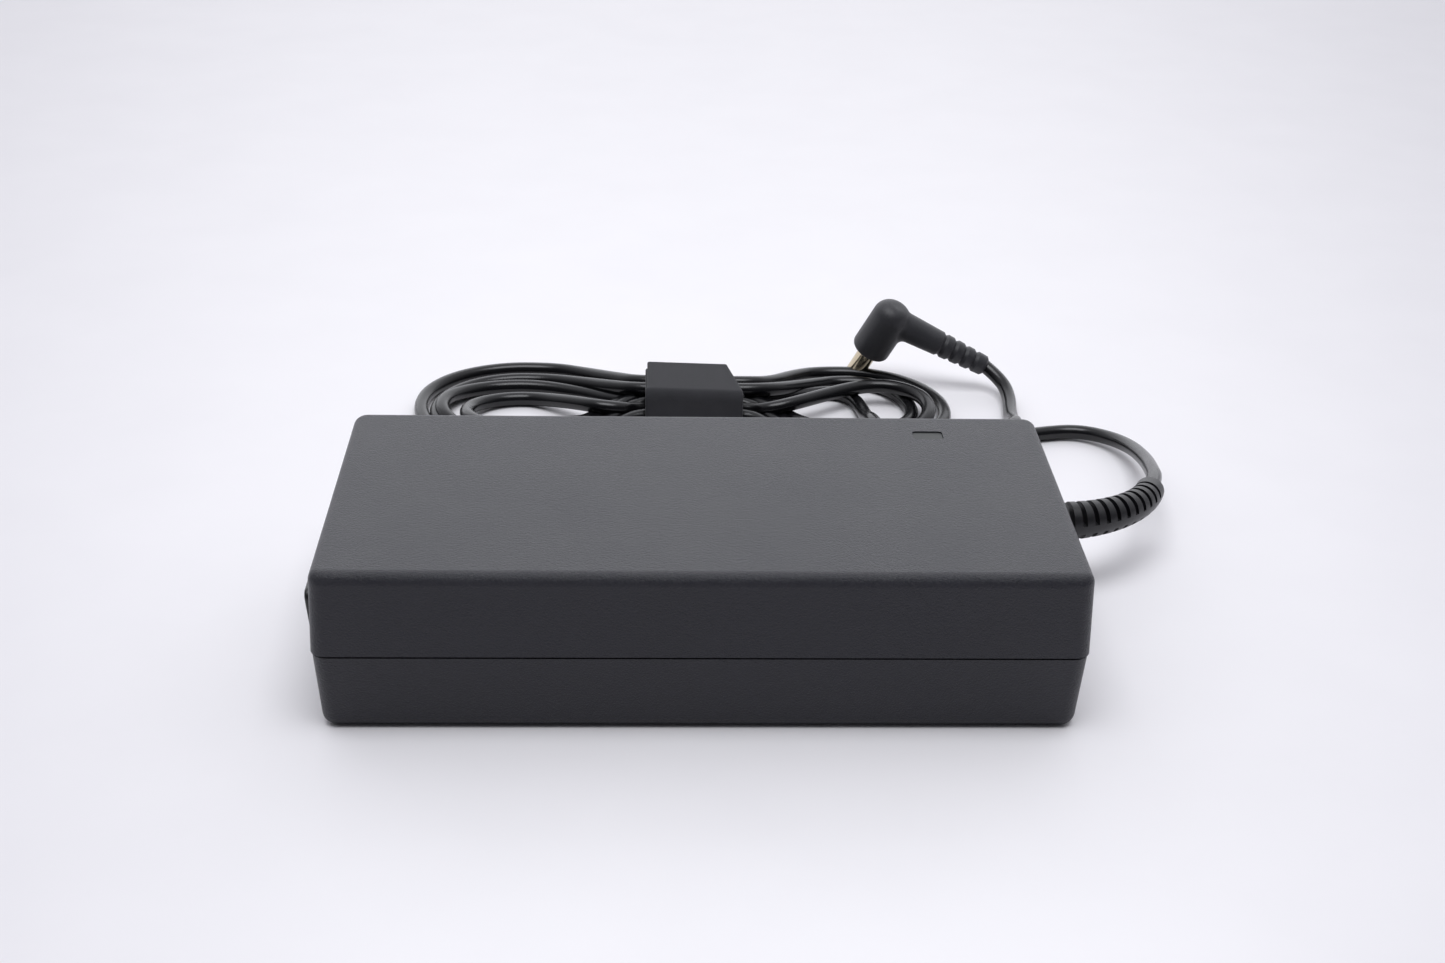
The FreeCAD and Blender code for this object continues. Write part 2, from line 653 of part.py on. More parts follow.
def boost_inductor_winding():
    """Coil of the input stage's inductor."""
    return paired_coil(*INDUCTOR, from_left(INDUCTOR_AT[0]), INDUCTOR_AT[1])


def transformer_core():
    """Core of the transformer."""
    return paired_core(TRANSFORMER[0], TRANSFORMER[1], *TRANSFORMER_AT)


def transformer_winding():
    """Taped windings of the transformer."""
    return paired_coil(*TRANSFORMER, *TRANSFORMER_AT)


def heatsink(size, x, y):
    """Upright plate with a folded foot on the board and a notched top."""
    length, thickness, height = size
    plate = block_at(size, x, y)
    width, foot_height = SINK_FOOT
    foot = block_at((length, width, foot_height), x, y + (thickness - width) / 2)
    notch, depth = SINK_NOTCH
    notches = [block_at((notch, thickness + 2, depth + 1), x + length * share, y, BOARD_TOP + height - depth)
               for share in (-0.25, 0.25)]
    return plate.fuse(foot).cut(notches).removeSplitter()


def primary_heatsink():
    """Cooling plate of the mains side."""
    return heatsink(PRIMARY_SINK[0], *PRIMARY_SINK[1])


def secondary_heatsink():
    """Cooling plate of the low-voltage side."""
    return heatsink(SECONDARY_SINK[0], from_right(SECONDARY_SINK[1][0]), SECONDARY_SINK[1][1])


def package(x, y):
    """Transistor that stands against a plate at y: its tab, its moulded body and three legs."""
    width, depth, height = PACKAGE
    z = BOARD_TOP + 3.5
    tab = block_at((width, 1.3, height), x, y + 0.65, z)
    body = block_at((width, depth, height - 6.5), x, y + depth / 2, z)
    legs = [block_at((0.9, 0.6, 4.0), x + dx, y + 2.4) for dx in (-2.54, 0, 2.54)]
    return tab.fuse([body] + legs).removeSplitter()


def clip(x, y, thickness):
    """Bent spring strip that holds one transistor against its plate."""
    depth = PACKAGE[1]
    z = BOARD_TOP + 22.0
    back = y - thickness - FIT
    front = y + depth
    outline = [(back - 0.6, z - 5), (back - 0.6, z + 0.7), (front - 1.2, z + 0.7), (front + 0.7, z - 11.5),
               (front + FIT, z - 11.5), (front + FIT, z - 9.2), (front - 1.8, z + 0.1), (back, z + 0.1),
               (back, z - 5)]
    points = [V(x - 2.5, py, pz) for py, pz in outline]
    return prism(Part.makePolygon(points + points[:1]), V(5.0, 0, 0))


def primary_places():
    """Transistors along the mains cooling plate."""
    (length, thickness, _), (x, y) = PRIMARY_SINK
    return [(x + length * share, y + thickness / 2 + FIT) for share in (-0.39, 0.0, 0.39)]


def secondary_places():
    """Rectifiers along the low-voltage cooling plate."""
    (length, thickness, _), (from_end, y) = SECONDARY_SINK
    return [(from_right(from_end) + length * share, y + thickness / 2 + FIT) for share in (0.0, 0.38)]


def primary_transistors():
    """Power transistors of the mains side."""
    return Part.makeCompound([package(x, y) for x, y in primary_places()])


def output_rectifiers():
    """Rectifiers of the low-voltage side."""
    return Part.makeCompound([package(x, y) for x, y in secondary_places()])


def transistor_clips():
    """Spring clips over all the transistors."""
    places = primary_places() + secondary_places()
    return Part.makeCompound([clip(x, y, PRIMARY_SINK[0][1]) for x, y in places])


def bulk_capacitor():
    """Large capacitor that lies on the board, with the groove rolled near its end."""
    radius, length, x, y = BULK
    profile = [(0, 0), (0, radius - 0.8), (0.8, radius), (3.0, radius), (3.7, radius - 0.7), (4.4, radius),
               (length - 0.8, radius), (length, radius - 0.8), (length, 0)]
    return turned(profile, V(x - length, y, BOARD_TOP + SEAT + radius), V(1, 0, 0))


def control_chips():
    """Two flat packages that run the converter."""
    return Part.makeCompound([block_at(CHIP, from_right(41.0), y) for y in (25.5, 16.5)])


def optocouplers():
    """Two couplers that carry the feedback across the isolation slot."""
    return Part.makeCompound([block_at(COUPLER, from_right(41.5), y) for y in (-27.0, 8.0)])


def output_choke():
    """Drum-shaped inductor at the output."""
    rim, core, height, edge = OUTPUT_CHOKE
    profile = [(0, 0), (0, rim), (edge, rim), (edge, core), (height - edge, core), (height - edge, rim),
               (height, rim), (height, 0)]
    return turned(profile, V(from_right(30.5), -11.0, BOARD_TOP), V(0, 0, 1))


def output_capacitors():
    """Four upright capacitors at the output."""
    radius, height, pitch_x, pitch_y = OUTPUT_CAN
    profile = [(0, 0), (0, radius), (height - 0.6, radius), (height, radius - 0.6), (height, 0)]
    cans = []
    for i in range(2):
        for j in range(2):
            place = V(from_right(7.5 + pitch_x * i), -25.0 + pitch_y * j, BOARD_TOP)
            cans.append(turned(profile, place, V(0, 0, 1)))
    return Part.makeCompound(cans)


def relief_frame(angle):
    """Point on the relief's bent axis and its direction there, after turning by angle (degrees)."""
    droop = math.radians(RELIEF_DROOP)
    side = V(0, math.cos(droop), -math.sin(droop))
    start = V(LENGTH / 2 + 0.2 + RELIEF_STRAIGHT, RELIEF_Y, RELIEF_Z)
    turn = math.radians(angle)
    point = start + V(1, 0, 0) * (RELIEF_BEND_RADIUS * math.sin(turn))
    point = point + side * (RELIEF_BEND_RADIUS * (1 - math.cos(turn)))
    return point, V(1, 0, 0) * math.cos(turn) + side * math.sin(turn)


def relief_flange_x():
    """Inner face of the flange that holds the relief inside the wall."""
    return housing_half(RELIEF_Z - RELIEF_FLANGE_RADIUS)[0] - WALL - SLIDE - RELIEF_FLANGE_THICKNESS


def relief_radius(angle):
    """Outer radius of the relief along its bend."""
    return RELIEF_BASE_RADIUS + (RELIEF_END_RADIUS - RELIEF_BASE_RADIUS) * angle / RELIEF_TURN


def relief_slot(angle, below):
    """Cutter for one slot: a slab across the bend, above or below the uncut band."""
    point, along = relief_frame(angle)
    up = V(0, 0, 1) - along * along.z
    rotation = FreeCAD.Rotation(along, V(0, 0, 0), up, "XZY")
    radius = relief_radius(angle)
    low, high = (-3, -RELIEF_BOTTOM_CUT) if below else (RELIEF_TOP_CUT, 3)
    slab = Part.makeBox(RELIEF_SLOT_WIDTH, 4 * radius, (high - low) * radius,
                        V(-RELIEF_SLOT_WIDTH / 2, -2 * radius, low * radius))
    slab.Placement = FreeCAD.Placement(point, rotation)
    return slab


def strain_relief():
    """Bend relief: a flange and neck in the wall, then a tapered slotted sleeve on a bent axis."""
    stations = [RELIEF_TURN * i / 4 for i in range(5)]
    sections = []
    for angle in stations:
        point, along = relief_frame(angle)
        sections.append(Part.Wire(Part.makeCircle(relief_radius(angle), point, along)))
    sleeve = Part.makeLoft(sections, True, False)
    x1 = relief_frame(0)[0].x
    flange_x = relief_flange_x()
    turned_part = turned([(0, 0), (0, RELIEF_FLANGE_RADIUS), (RELIEF_FLANGE_THICKNESS, RELIEF_FLANGE_RADIUS),
                          (RELIEF_FLANGE_THICKNESS, RELIEF_NECK_RADIUS),
                          (LENGTH / 2 + 0.2 - flange_x, RELIEF_NECK_RADIUS),
                          (LENGTH / 2 + 0.2 - flange_x, RELIEF_BASE_RADIUS - RELIEF_CHAMFER),
                          (LENGTH / 2 + 0.2 + RELIEF_CHAMFER - flange_x, RELIEF_BASE_RADIUS),
                          (x1 - flange_x, RELIEF_BASE_RADIUS), (x1 - flange_x, 0)],
                         V(flange_x, RELIEF_Y, RELIEF_Z), V(1, 0, 0))
    degree = math.degrees(1 / RELIEF_BEND_RADIUS)
    first = RELIEF_BASE_COLLAR * degree
    pitch = (RELIEF_TURN - (RELIEF_BASE_COLLAR + RELIEF_END_COLLAR) * degree) / (RELIEF_SLOTS - 1)
    angles = [first + pitch * i for i in range(RELIEF_SLOTS)]
    slots = [relief_slot(angle, below) for angle in angles for below in (False, True)]
    return sleeve.cut(slots).fuse(turned_part)


def relief_end():
    """Where the cord leaves the relief, and its direction."""
    return relief_frame(RELIEF_TURN)


def dc_wires():
    """Two insulated wires from the board to the inner end of the cord."""
    wires = []
    radius, offset, reach = WIRE
    flange_x = relief_flange_x()
    inner_x = flange_x - reach
    for side in (-1, 1):
        y = RELIEF_Y + side * offset
        points = [V(flange_x, y, RELIEF_Z), V(inner_x, y, RELIEF_Z), V(inner_x, y, BOARD_TOP)]
        wires.append(tube("dc wire", points, radius))
    return Part.makeCompound(wires)


def cord_lead():
    """The cord from the relief to the hank."""
    point, along = relief_end()
    points = [point, point + along * 8.5] + [V(*p) for p in LEAD_POINTS]
    return tube("lead", points, CORD_RADIUS)


def neck_end():
    """Where the cord enters the plug's neck."""
    return plug_foot() - V(PLUG_AXIS).normalize() * NECK_FROM_FOOT + neck_direction() * NECK_LENGTH


def neck_direction():
    """The neck leaves the head square to the plug's axis."""
    axis = V(PLUG_AXIS).normalize()
    return (NECK_AXIS - axis * NECK_AXIS.dot(axis)).normalize()


def plug_foot():
    """Centre of the head's face that the barrel stands out of."""
    return PLUG_TIP - V(PLUG_AXIS).normalize() * BARREL_LENGTH


def cord_tail():
    """The cord from the hank to the plug."""
    points = [neck_end()] + [V(*p) for p in TAIL_POINTS]
    return tube("tail", points, CORD_RADIUS)


def smooth_loop(points, z):
    """Closed wire at height z, with each corner's arc as large as its two runs allow."""
    corners = [V(x, y, z) for x, y in points]
    radii = []
    for i in range(len(corners)):
        back = corners[i - 1] - corners[i]
        onward = corners[(i + 1) % len(corners)] - corners[i]
        radii.append(0.48 * min(back.Length, onward.Length) * math.tan(back.getAngle(onward) / 2))
    return rounded_loop(corners, radii)


def cord_hank():
    """Closed outer shape of the tied hank: two lobes round their eyes, and a waist in the strap."""
    body = prism(smooth_loop(HANK_OUTLINE, HANK_Z), V(0, 0, HANK_TOP - HANK_Z))
    eyes = [prism(smooth_loop(eye, -1), V(0, 0, HANK_TOP + 2)) for eye in (LEFT_EYE, RIGHT_EYE)]
    left, right = STRAP_X - STRAP_LENGTH / 2, STRAP_X + STRAP_LENGTH / 2
    waist = prism(rectangle_yz(BUNDLE_WIDTH - 2 * SEAT, BUNDLE_HEIGHT - 2 * SEAT, STRAP_ROUNDING - 1,
                               left - 2, BUNDLE_Y, STRAP_THICKNESS + BUNDLE_HEIGHT / 2),
                  V(STRAP_LENGTH + 4, 0, 0))
    clear = box(left - SLIDE, right + SLIDE, 0, 200, -1, 30)
    return body.cut(eyes + [clear]).fuse(waist)


def strap_band():
    """Fabric band round the hank's waist."""
    width = BUNDLE_WIDTH + 2 * STRAP_THICKNESS
    height = BUNDLE_HEIGHT + 2 * STRAP_THICKNESS
    middle = height / 2
    x = STRAP_X - STRAP_LENGTH / 2
    outer = prism(rectangle_yz(width, height, STRAP_ROUNDING, x, BUNDLE_Y, middle), V(STRAP_LENGTH, 0, 0))
    inner = prism(rectangle_yz(BUNDLE_WIDTH, BUNDLE_HEIGHT, STRAP_ROUNDING - STRAP_THICKNESS, x - 1,
                               BUNDLE_Y, middle), V(STRAP_LENGTH + 2, 0, 0))
    return outer.cut(inner)


def strap_tail():
    """Free end of the strap, pressed on the band's top, which peels up round its front edge."""
    top = BUNDLE_HEIGHT + 2 * STRAP_THICKNESS
    hinge_y = BUNDLE_Y - BUNDLE_WIDTH / 2 - STRAP_THICKNESS + STRAP_ROUNDING
    half = STRAP_LENGTH / 2 - STRAP_TAIL_INSET
    left, right = STRAP_X - half, STRAP_X + half
    end_y = hinge_y + STRAP_TAIL_LENGTH
    corners = [V(right, hinge_y, top), V(right - STRAP_TAIL_SLANT, end_y, top), V(left, end_y, top),
               V(left, hinge_y, top)]
    loop = rounded_loop(corners, [0, STRAP_TAIL_CORNER, STRAP_TAIL_CORNER, 0])
    return prism(loop, V(0, 0, STRAP_THICKNESS))


def round_edges(solid, centre, axis):
    """Circular edges whose ends lie in the plane through centre across axis."""
    return [edge for edge in solid.Edges
            if edge.Curve.TypeId == "Part::GeomCircle"
            and all(abs((v.Point - centre).dot(axis)) < 0.01 for v in edge.Vertexes)]


def on_cylinder(edge, base, axis, radius):
    """Whether an edge winds over a cylinder's side, as where the neck meets the head."""
    if edge.Curve.TypeId in ("Part::GeomLine", "Part::GeomCircle"):
        return False
    offsets = [edge.valueAt(edge.FirstParameter + (edge.LastParameter - edge.FirstParameter) * share) - base
               for share in (0.1, 0.4, 0.7)]
    return all(abs((offset - axis * offset.dot(axis)).Length - radius) < 0.01 for offset in offsets)


def plug_housing():
    """Moulded right-angle plug: a round head, and a neck with ribs that bend with the cord."""
    axis = V(PLUG_AXIS).normalize()
    foot = plug_foot()
    head = Part.makeCylinder(HEAD_RADIUS, HEAD_LENGTH, foot, axis * -1)
    head = head.makeFillet(HEAD_DOME, round_edges(head, foot - axis * HEAD_LENGTH, axis))
    head = head.makeFillet(HEAD_FOOT_ROUND, round_edges(head, foot, axis))
    width, depth = NECK_GROOVE
    profile = [(0, 0), (0, NECK_RADIUS)]
    first = NECK_LENGTH - NECK_BULB - NECK_GROOVE_PITCH * (NECK_GROOVES - 1) - width
    for i in range(NECK_GROOVES):
        start = first + NECK_GROOVE_PITCH * i
        r0 = NECK_RADIUS + (NECK_END_RADIUS - NECK_RADIUS) * start / NECK_LENGTH
        r1 = NECK_RADIUS + (NECK_END_RADIUS - NECK_RADIUS) * (start + width) / NECK_LENGTH
        profile += [(start, r0), (start + width / 2, r0 - depth), (start + width, r1)]
    profile += [(NECK_LENGTH - 0.6, NECK_END_RADIUS), (NECK_LENGTH, NECK_END_RADIUS - 0.6), (NECK_LENGTH, 0)]
    neck = turned(profile, foot - axis * NECK_FROM_FOOT, neck_direction())
    root_radius, root_length = BARREL_ROOT
    socket = Part.makeCylinder(root_radius + FIT, root_length + SEAT + 1, foot + axis, axis * -1)
    body = head.fuse(neck)
    seam = [edge for edge in body.Edges if on_cylinder(edge, foot, axis, HEAD_RADIUS) and edge.Length > 1]
    body = body.makeFillet(NECK_BLEND, seam)
    return body.cut(socket)


def on_plug_axis(profile, from_tip=0.0):
    """Piece turned on the plug's axis: the profile is (distance from its start, radius)."""
    axis = V(PLUG_AXIS).normalize()
    return turned(profile, PLUG_TIP - axis * from_tip, axis * -1)


def plug_barrel():
    """Outer metal sleeve of the plug, with a wider root inside the head."""
    root_radius, root_length = BARREL_ROOT
    inner = BARREL_RADIUS - BARREL_WALL
    length = BARREL_LENGTH + root_length
    return on_plug_axis([(0, inner), (0, BARREL_RADIUS), (BARREL_LENGTH, BARREL_RADIUS),
                         (BARREL_LENGTH, root_radius), (length, root_radius), (length, inner)])


def plug_insulator():
    """Insulating tube between the two contacts."""
    outer = BARREL_RADIUS - BARREL_WALL - FIT
    inner = BARREL_BORE_RADIUS + CONTACT_WALL + FIT
    length = BARREL_LENGTH + BARREL_ROOT[1]
    return on_plug_axis([(0, inner), (0, outer), (length, outer), (length, inner)])


def plug_centre_contact():
    """Inner contact, a sleeve that the socket's pin enters."""
    outer = BARREL_BORE_RADIUS + CONTACT_WALL
    return on_plug_axis([(0, BARREL_BORE_RADIUS), (0, outer), (CONTACT_DEPTH, outer),
                         (CONTACT_DEPTH, BARREL_BORE_RADIUS)], CONTACT_SETBACK)


PIECES = (top_cover, bottom_cover, ac_inlet_body, inlet_blades, indicator_light_guide, indicator_led,
          upper_heat_spreader, insulating_film, lower_heat_spreader, bottom_insulating_sheet,
          circuit_board, fuse, thermistor, y_capacitors, x_capacitor, common_mode_choke_core,
          common_mode_choke_windings, bridge_rectifier, boost_inductor_core, boost_inductor_winding,
          primary_heatsink, primary_transistors, transistor_clips, bulk_capacitor, transformer_core,
          transformer_winding, control_chips, optocouplers, secondary_heatsink, output_rectifiers,
          output_choke, output_capacitors, dc_wires, strain_relief, cord_lead, cord_hank, cord_tail,
          strap_band, strap_tail, plug_housing, plug_barrel, plug_insulator, plug_centre_contact)


def main():
    """Build each piece and write it to its own file."""
    os.makedirs("parts", exist_ok=True)
    for piece in PIECES:
        shape = piece()
        shape.translate(SHIFT)
        name = piece.__name__
        print(name, len(shape.Solids), "solids", round(shape.Volume, 1), "mm3", "valid", shape.isValid())
        shape.exportStep("parts/" + name + ".step")


main()
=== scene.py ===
# %% [markdown]
# # A laptop power adapter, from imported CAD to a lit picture
#
# The solid parts of this adapter come from CAD and are already in their places: a moulded housing, its
# inlet, a bend relief and a right-angle plug. What CAD is poor at is added here: the output cord as one
# long limp line, the fabric strap that ties it, and a finish for every surface.
#
# Everything is in metres, in the CAD's own frame: x runs along the housing, y goes to the back where the
# cord lies, and z is up, with the table at zero.

import json
import math

import bpy
import numpy as np
from mathutils import Matrix


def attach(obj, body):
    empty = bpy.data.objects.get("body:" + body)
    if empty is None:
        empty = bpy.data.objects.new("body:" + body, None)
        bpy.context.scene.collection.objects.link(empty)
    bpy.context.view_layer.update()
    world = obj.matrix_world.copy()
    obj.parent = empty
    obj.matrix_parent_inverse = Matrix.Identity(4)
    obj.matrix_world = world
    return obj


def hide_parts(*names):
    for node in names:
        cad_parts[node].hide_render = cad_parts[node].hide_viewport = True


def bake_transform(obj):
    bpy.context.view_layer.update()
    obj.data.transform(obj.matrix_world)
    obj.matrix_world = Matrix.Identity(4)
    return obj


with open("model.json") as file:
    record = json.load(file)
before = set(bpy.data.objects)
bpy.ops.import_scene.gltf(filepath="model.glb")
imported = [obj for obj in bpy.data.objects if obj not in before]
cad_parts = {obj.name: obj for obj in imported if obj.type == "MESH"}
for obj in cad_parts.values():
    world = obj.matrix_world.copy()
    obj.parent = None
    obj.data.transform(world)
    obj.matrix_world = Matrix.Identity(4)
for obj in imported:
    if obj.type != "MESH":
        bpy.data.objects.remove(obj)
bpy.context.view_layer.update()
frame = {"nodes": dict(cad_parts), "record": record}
cad = frame["nodes"]


def put_in_scene(thing):
    """Link an object to the scene's collection and give it back."""
    bpy.context.scene.collection.objects.link(thing)
    return thing


# %% [markdown]
# ## The camera
#
# The photograph was taken with a longish lens from a little above the table, looking down by about 27
# degrees. The three angles and the lens below were found by matching the corners of the housing. A
# camera looks along its own -Z, so its axes are worked out from the viewing direction and a small roll.

# %% Place the camera
CAMERA_PLACE = (-0.01176, -0.39078, 0.2384)
CAMERA_LENS_MM = 50.08
LOOK_DOWN = math.radians(27.008)
LOOK_RIGHT = math.radians(2.513)
ROLL = math.radians(1.464)


def camera_axes():
    """Right, up and backward directions: the level axes, turned about the viewing direction by the roll."""
    ahead = np.array([math.sin(LOOK_RIGHT) * math.cos(LOOK_DOWN), math.cos(LOOK_RIGHT) * math.cos(LOOK_DOWN),
                      -math.sin(LOOK_DOWN)])
    level = np.array([math.cos(LOOK_RIGHT), -math.sin(LOOK_RIGHT), 0.0])
    upright = np.cross(level, ahead)
    right = level * math.cos(ROLL) + upright * math.sin(ROLL)
    up = upright * math.cos(ROLL) - level * math.sin(ROLL)
    return right, up, -ahead


camera = put_in_scene(bpy.data.objects.new("camera", bpy.data.cameras.new("camera")))
camera.data.lens = CAMERA_LENS_MM
turned = Matrix(np.array(camera_axes()).T.tolist()).to_4x4()
camera.matrix_world = Matrix.Translation(CAMERA_PLACE) @ turned
bpy.context.scene.camera = camera
print("camera at", CAMERA_PLACE, "with a", CAMERA_LENS_MM, "mm lens")

# %% [markdown]
# ## The output cord
#
# The cord is about a metre and a half of thin, limp, round cable. It leaves the bend relief, sags to the
# table behind the housing, and is wound back and forth in flat loops that a strap ties at the waist. Its
# last stretch comes round again to the plug.
#
# It could be a mesh tube, but a NURBS curve with a round bevel is simpler: each listed point pulls the
# line like a weight, and the line stays smooth. The loops are regular enough to be worked out: each one
# is an ellipse, with a width of its own for its rear and its front half, joined to the strap by a few points.

# %% The two free ends of the cord
CORD_DIAMETER = 0.0039
MM = 0.001
SHIFT = np.array([0.6, 0.0, 0.0])

RELIEF_START = np.array([82.4, 22.15, 17.7])
RELIEF_DROOP = math.radians(4.5)
RELIEF_TURN = math.radians(68.0)
RELIEF_RADIUS = 30.8


def relief_mouth():
    """Where the cord leaves the relief, and its direction there: the end of a circular bend, drooping a little."""
    ahead = np.array([1.0, 0.0, 0.0])
    side = np.array([0.0, math.cos(RELIEF_DROOP), -math.sin(RELIEF_DROOP)])
    reach = RELIEF_RADIUS * math.sin(RELIEF_TURN)
    swing = RELIEF_RADIUS * (1 - math.cos(RELIEF_TURN))
    along = ahead * math.cos(RELIEF_TURN) + side * math.sin(RELIEF_TURN)
    return RELIEF_START + ahead * reach + side * swing, along


LEAD = ((115.5, 57.6, 13.4), (118.0, 73.4, 8.6), (118.0, 88.1, 5.0), (114.2, 98.3, 3.0),
        (106.4, 104.0, 2.2), (95.9, 102.7, 2.0), (85.6, 98.4, 2.05), (76.3, 94.6, 2.0), (65.9, 93.7, 2.0),
        (55.0, 90.6, 2.0), (43.1, 90.0, 2.0), (31.5, 94.6, 2.0), (22.5, 104.2, 2.4))
TAIL = ((24.5, 124.2, 2.3), (33.5, 127.4, 2.0), (41.6, 129.0, 2.0), (46.9, 124.6, 2.0), (48.4, 117.0, 2.1),
        (49.0, 110.0, 3.0), (49.6, 102.6, 6.0), (50.6, 96.6, 6.3), (54.0, 91.0, 5.9), (60.0, 86.8, 4.2),
        (68.9, 84.9, 2.3), (77.5, 88.2, 4.0), (83.6, 93.2, 6.6), (88.6, 100.0, 6.8), (89.4, 108.5, 2.6),
        (89.8, 116.5, 2.05), (91.0, 124.6, 2.4), (90.0, 132.0, 4.6), (85.33, 136.09, 7.28))
print("lead of", len(LEAD), "points and tail of", len(TAIL))

# %% The loops of the hank
# The strap holds eight passes side by side. Each has its (y, z) where it runs straight through the strap.
STRAP_X = 1.5
STRAP_LEFT = -14.0
STRAP_RIGHT = 17.0
PASSES = ((110.6, 3.25), (123.4, 7.15), (116.6, 4.4), (118.6, 7.15), (124.2, 3.25), (114.0, 3.25), (121.6, 4.2),
          (119.2, 3.25))

# One row per loop, left and right in turn, in the order of winding: centre; half length, rear half width
# and front half width; heights at the front, the end and the rear; then the listed points between
# the strap and the loop, along the front and along the rear.
LOOPS = (
    ((-46.0, 119.6), (29.1, 24.8, 31.0), (2.0, 2.0, 2.0),
     ((-21.5, 103.5, 2.4), (-30.0, 94.2, 2.0)), ((-21.0, 130.6, 5.0), (-29.5, 138.6, 2.8))),
    ((44.5, 116.4), (27.7, 26.8, 22.2), (2.0, 2.0, 2.0),
     ((24.0, 107.5, 2.2), (31.0, 99.0, 2.0)), ((23.0, 126.8, 5.7), (30.0, 136.2, 3.5))),
    ((-46.4, 115.0), (24.0, 21.6, 21.5), (2.0, 2.0, 2.0),
     ((-22.5, 107.3, 2.2), (-30.0, 98.6, 2.0)), ((-21.0, 123.4, 5.6), (-29.5, 130.4, 3.4))),
    ((46.7, 116.0), (16.0, 20.4, 13.9), (2.0, 2.0, 2.0),
     ((25.0, 115.6, 2.2), (31.0, 107.6, 2.0)), ((24.0, 121.4, 6.2), (31.0, 128.0, 4.0), (38.6, 133.8, 2.4))),
    ((-46.0, 110.5), (15.4, 12.9, 15.0), (5.9, 4.0, 2.0),
     ((-23.5, 115.0, 2.2), (-28.5, 107.0, 2.4), (-33.5, 100.6, 5.2)),
     ((-19.0, 110.4, 5.0), (-25.4, 110.2, 5.8), (-32.0, 115.2, 4.6))),
    ((53.6, 112.0), (13.0, 13.7, 13.4), (3.4, 5.7, 5.7),
     ((24.5, 111.6, 2.2), (30.0, 104.2, 2.0), (37.5, 99.6, 2.0), (44.5, 98.8, 2.0)),
     ((22.2, 110.4, 5.2), (28.8, 112.4, 6.0), (35.6, 117.0, 5.9), (42.4, 121.6, 5.7))),
    ((-47.0, 114.0), (21.7, 17.9, 16.0), (2.0, 4.9, 2.0),
     ((-23.5, 111.2, 2.2), (-30.0, 102.7, 2.0)), ((-20.5, 121.2, 2.6), (-29.0, 126.6, 2.0))),
)
LOOP_ANGLES = np.radians([-105, -75, -45, -15, 15, 45, 75, 105])


def loop_points(number):
    """One loop, from strap to strap: x = centre + half length * cos(angle) and y = centre + half width *
    sin(angle), with the rear half width where the sine is positive. The height goes from front to end to
    rear with the sine."""
    centre, (reach, rear_width, front_width), (front, end, rear), before, after = LOOPS[number]
    side = -1 if number % 2 == 0 else 1
    sine = np.sin(LOOP_ANGLES)
    x = centre[0] + side * reach * np.cos(LOOP_ANGLES)
    y = centre[1] + np.where(sine > 0, rear_width, front_width) * sine
    lean = np.clip(sine / 0.9, -1, 1)
    z = end + np.where(lean < 0, (front - end) * -lean, (rear - end) * lean)
    points = np.vstack([before, np.stack([x, y, z], axis=1), after[::-1]])
    points = points[::-1] if side > 0 else points
    strap_edge = STRAP_RIGHT if side > 0 else STRAP_LEFT
    return np.vstack([[strap_edge, *PASSES[number]], points, [strap_edge, *PASSES[number + 1]],
                      [STRAP_X, *PASSES[number + 1]]])


STRAIGHT_OUT = 8.5
mouth, mouth_direction = relief_mouth()
first_pass = [[STRAP_RIGHT, *PASSES[0]], [STRAP_X, *PASSES[0]]]
last_pass = [[STRAP_RIGHT - 2, *PASSES[-1]]]
route = np.vstack([[mouth, mouth + STRAIGHT_OUT * mouth_direction], LEAD, first_pass,
                   *[loop_points(number) for number in range(len(LOOPS))], last_pass, TAIL])
route = (route + SHIFT) * MM
print("the route has", len(route), "control points")

# %% [markdown]
# The points go into one open NURBS spline. Its order is set after the points are there, and
# `use_endpoint_u` makes it start and end at its first and last point. The bevel gives it its round section:
# a depth of one metre, which each point's own radius brings down to the cord's.

# %% Make the cord
cord_curve = bpy.data.curves.new("output_cord", "CURVE")
cord_curve.dimensions = "3D"
cord_curve.bevel_depth = 1.0
cord_curve.bevel_resolution = 6
cord_curve.use_fill_caps = True
line = cord_curve.splines.new("NURBS")
line.points.add(len(route) - 1)
line.points.foreach_set("co", np.column_stack([route, np.ones(len(route))]).ravel())
line.points.foreach_set("radius", np.full(len(route), CORD_DIAMETER / 2))
line.order_u = 3
line.use_endpoint_u = True
line.resolution_u = 8
output_cord = put_in_scene(bpy.data.objects.new("output_cord", cord_curve))

bare_line = bpy.data.objects.new("bare_line", cord_curve.copy())
bare_line.data.bevel_depth = 0
spots = np.array([vertex.co for vertex in bare_line.to_mesh().vertices])
bpy.data.curves.remove(bare_line.data)
cord_length = float(np.linalg.norm(np.diff(spots, axis=0), axis=1).sum())
print("the cord is", round(cord_length, 3), "m long")

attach(output_cord, "adapter")
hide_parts("cord_lead", "cord_hank", "cord_tail")

# %% [markdown]
# ## The strap
#
# The hank is tied by a strip of hook-and-loop fabric, 27 mm wide. It starts on top of the bundle, goes
# round the back and under it, comes up the front and is pressed down on itself. So there are two pieces:
# the part that stays, and the flap that peels up. Both are the same surface, a flat profile with rounded
# edges carried along a path in the y-z plane; only the path and the width differ.

# %% A path with rounded corners


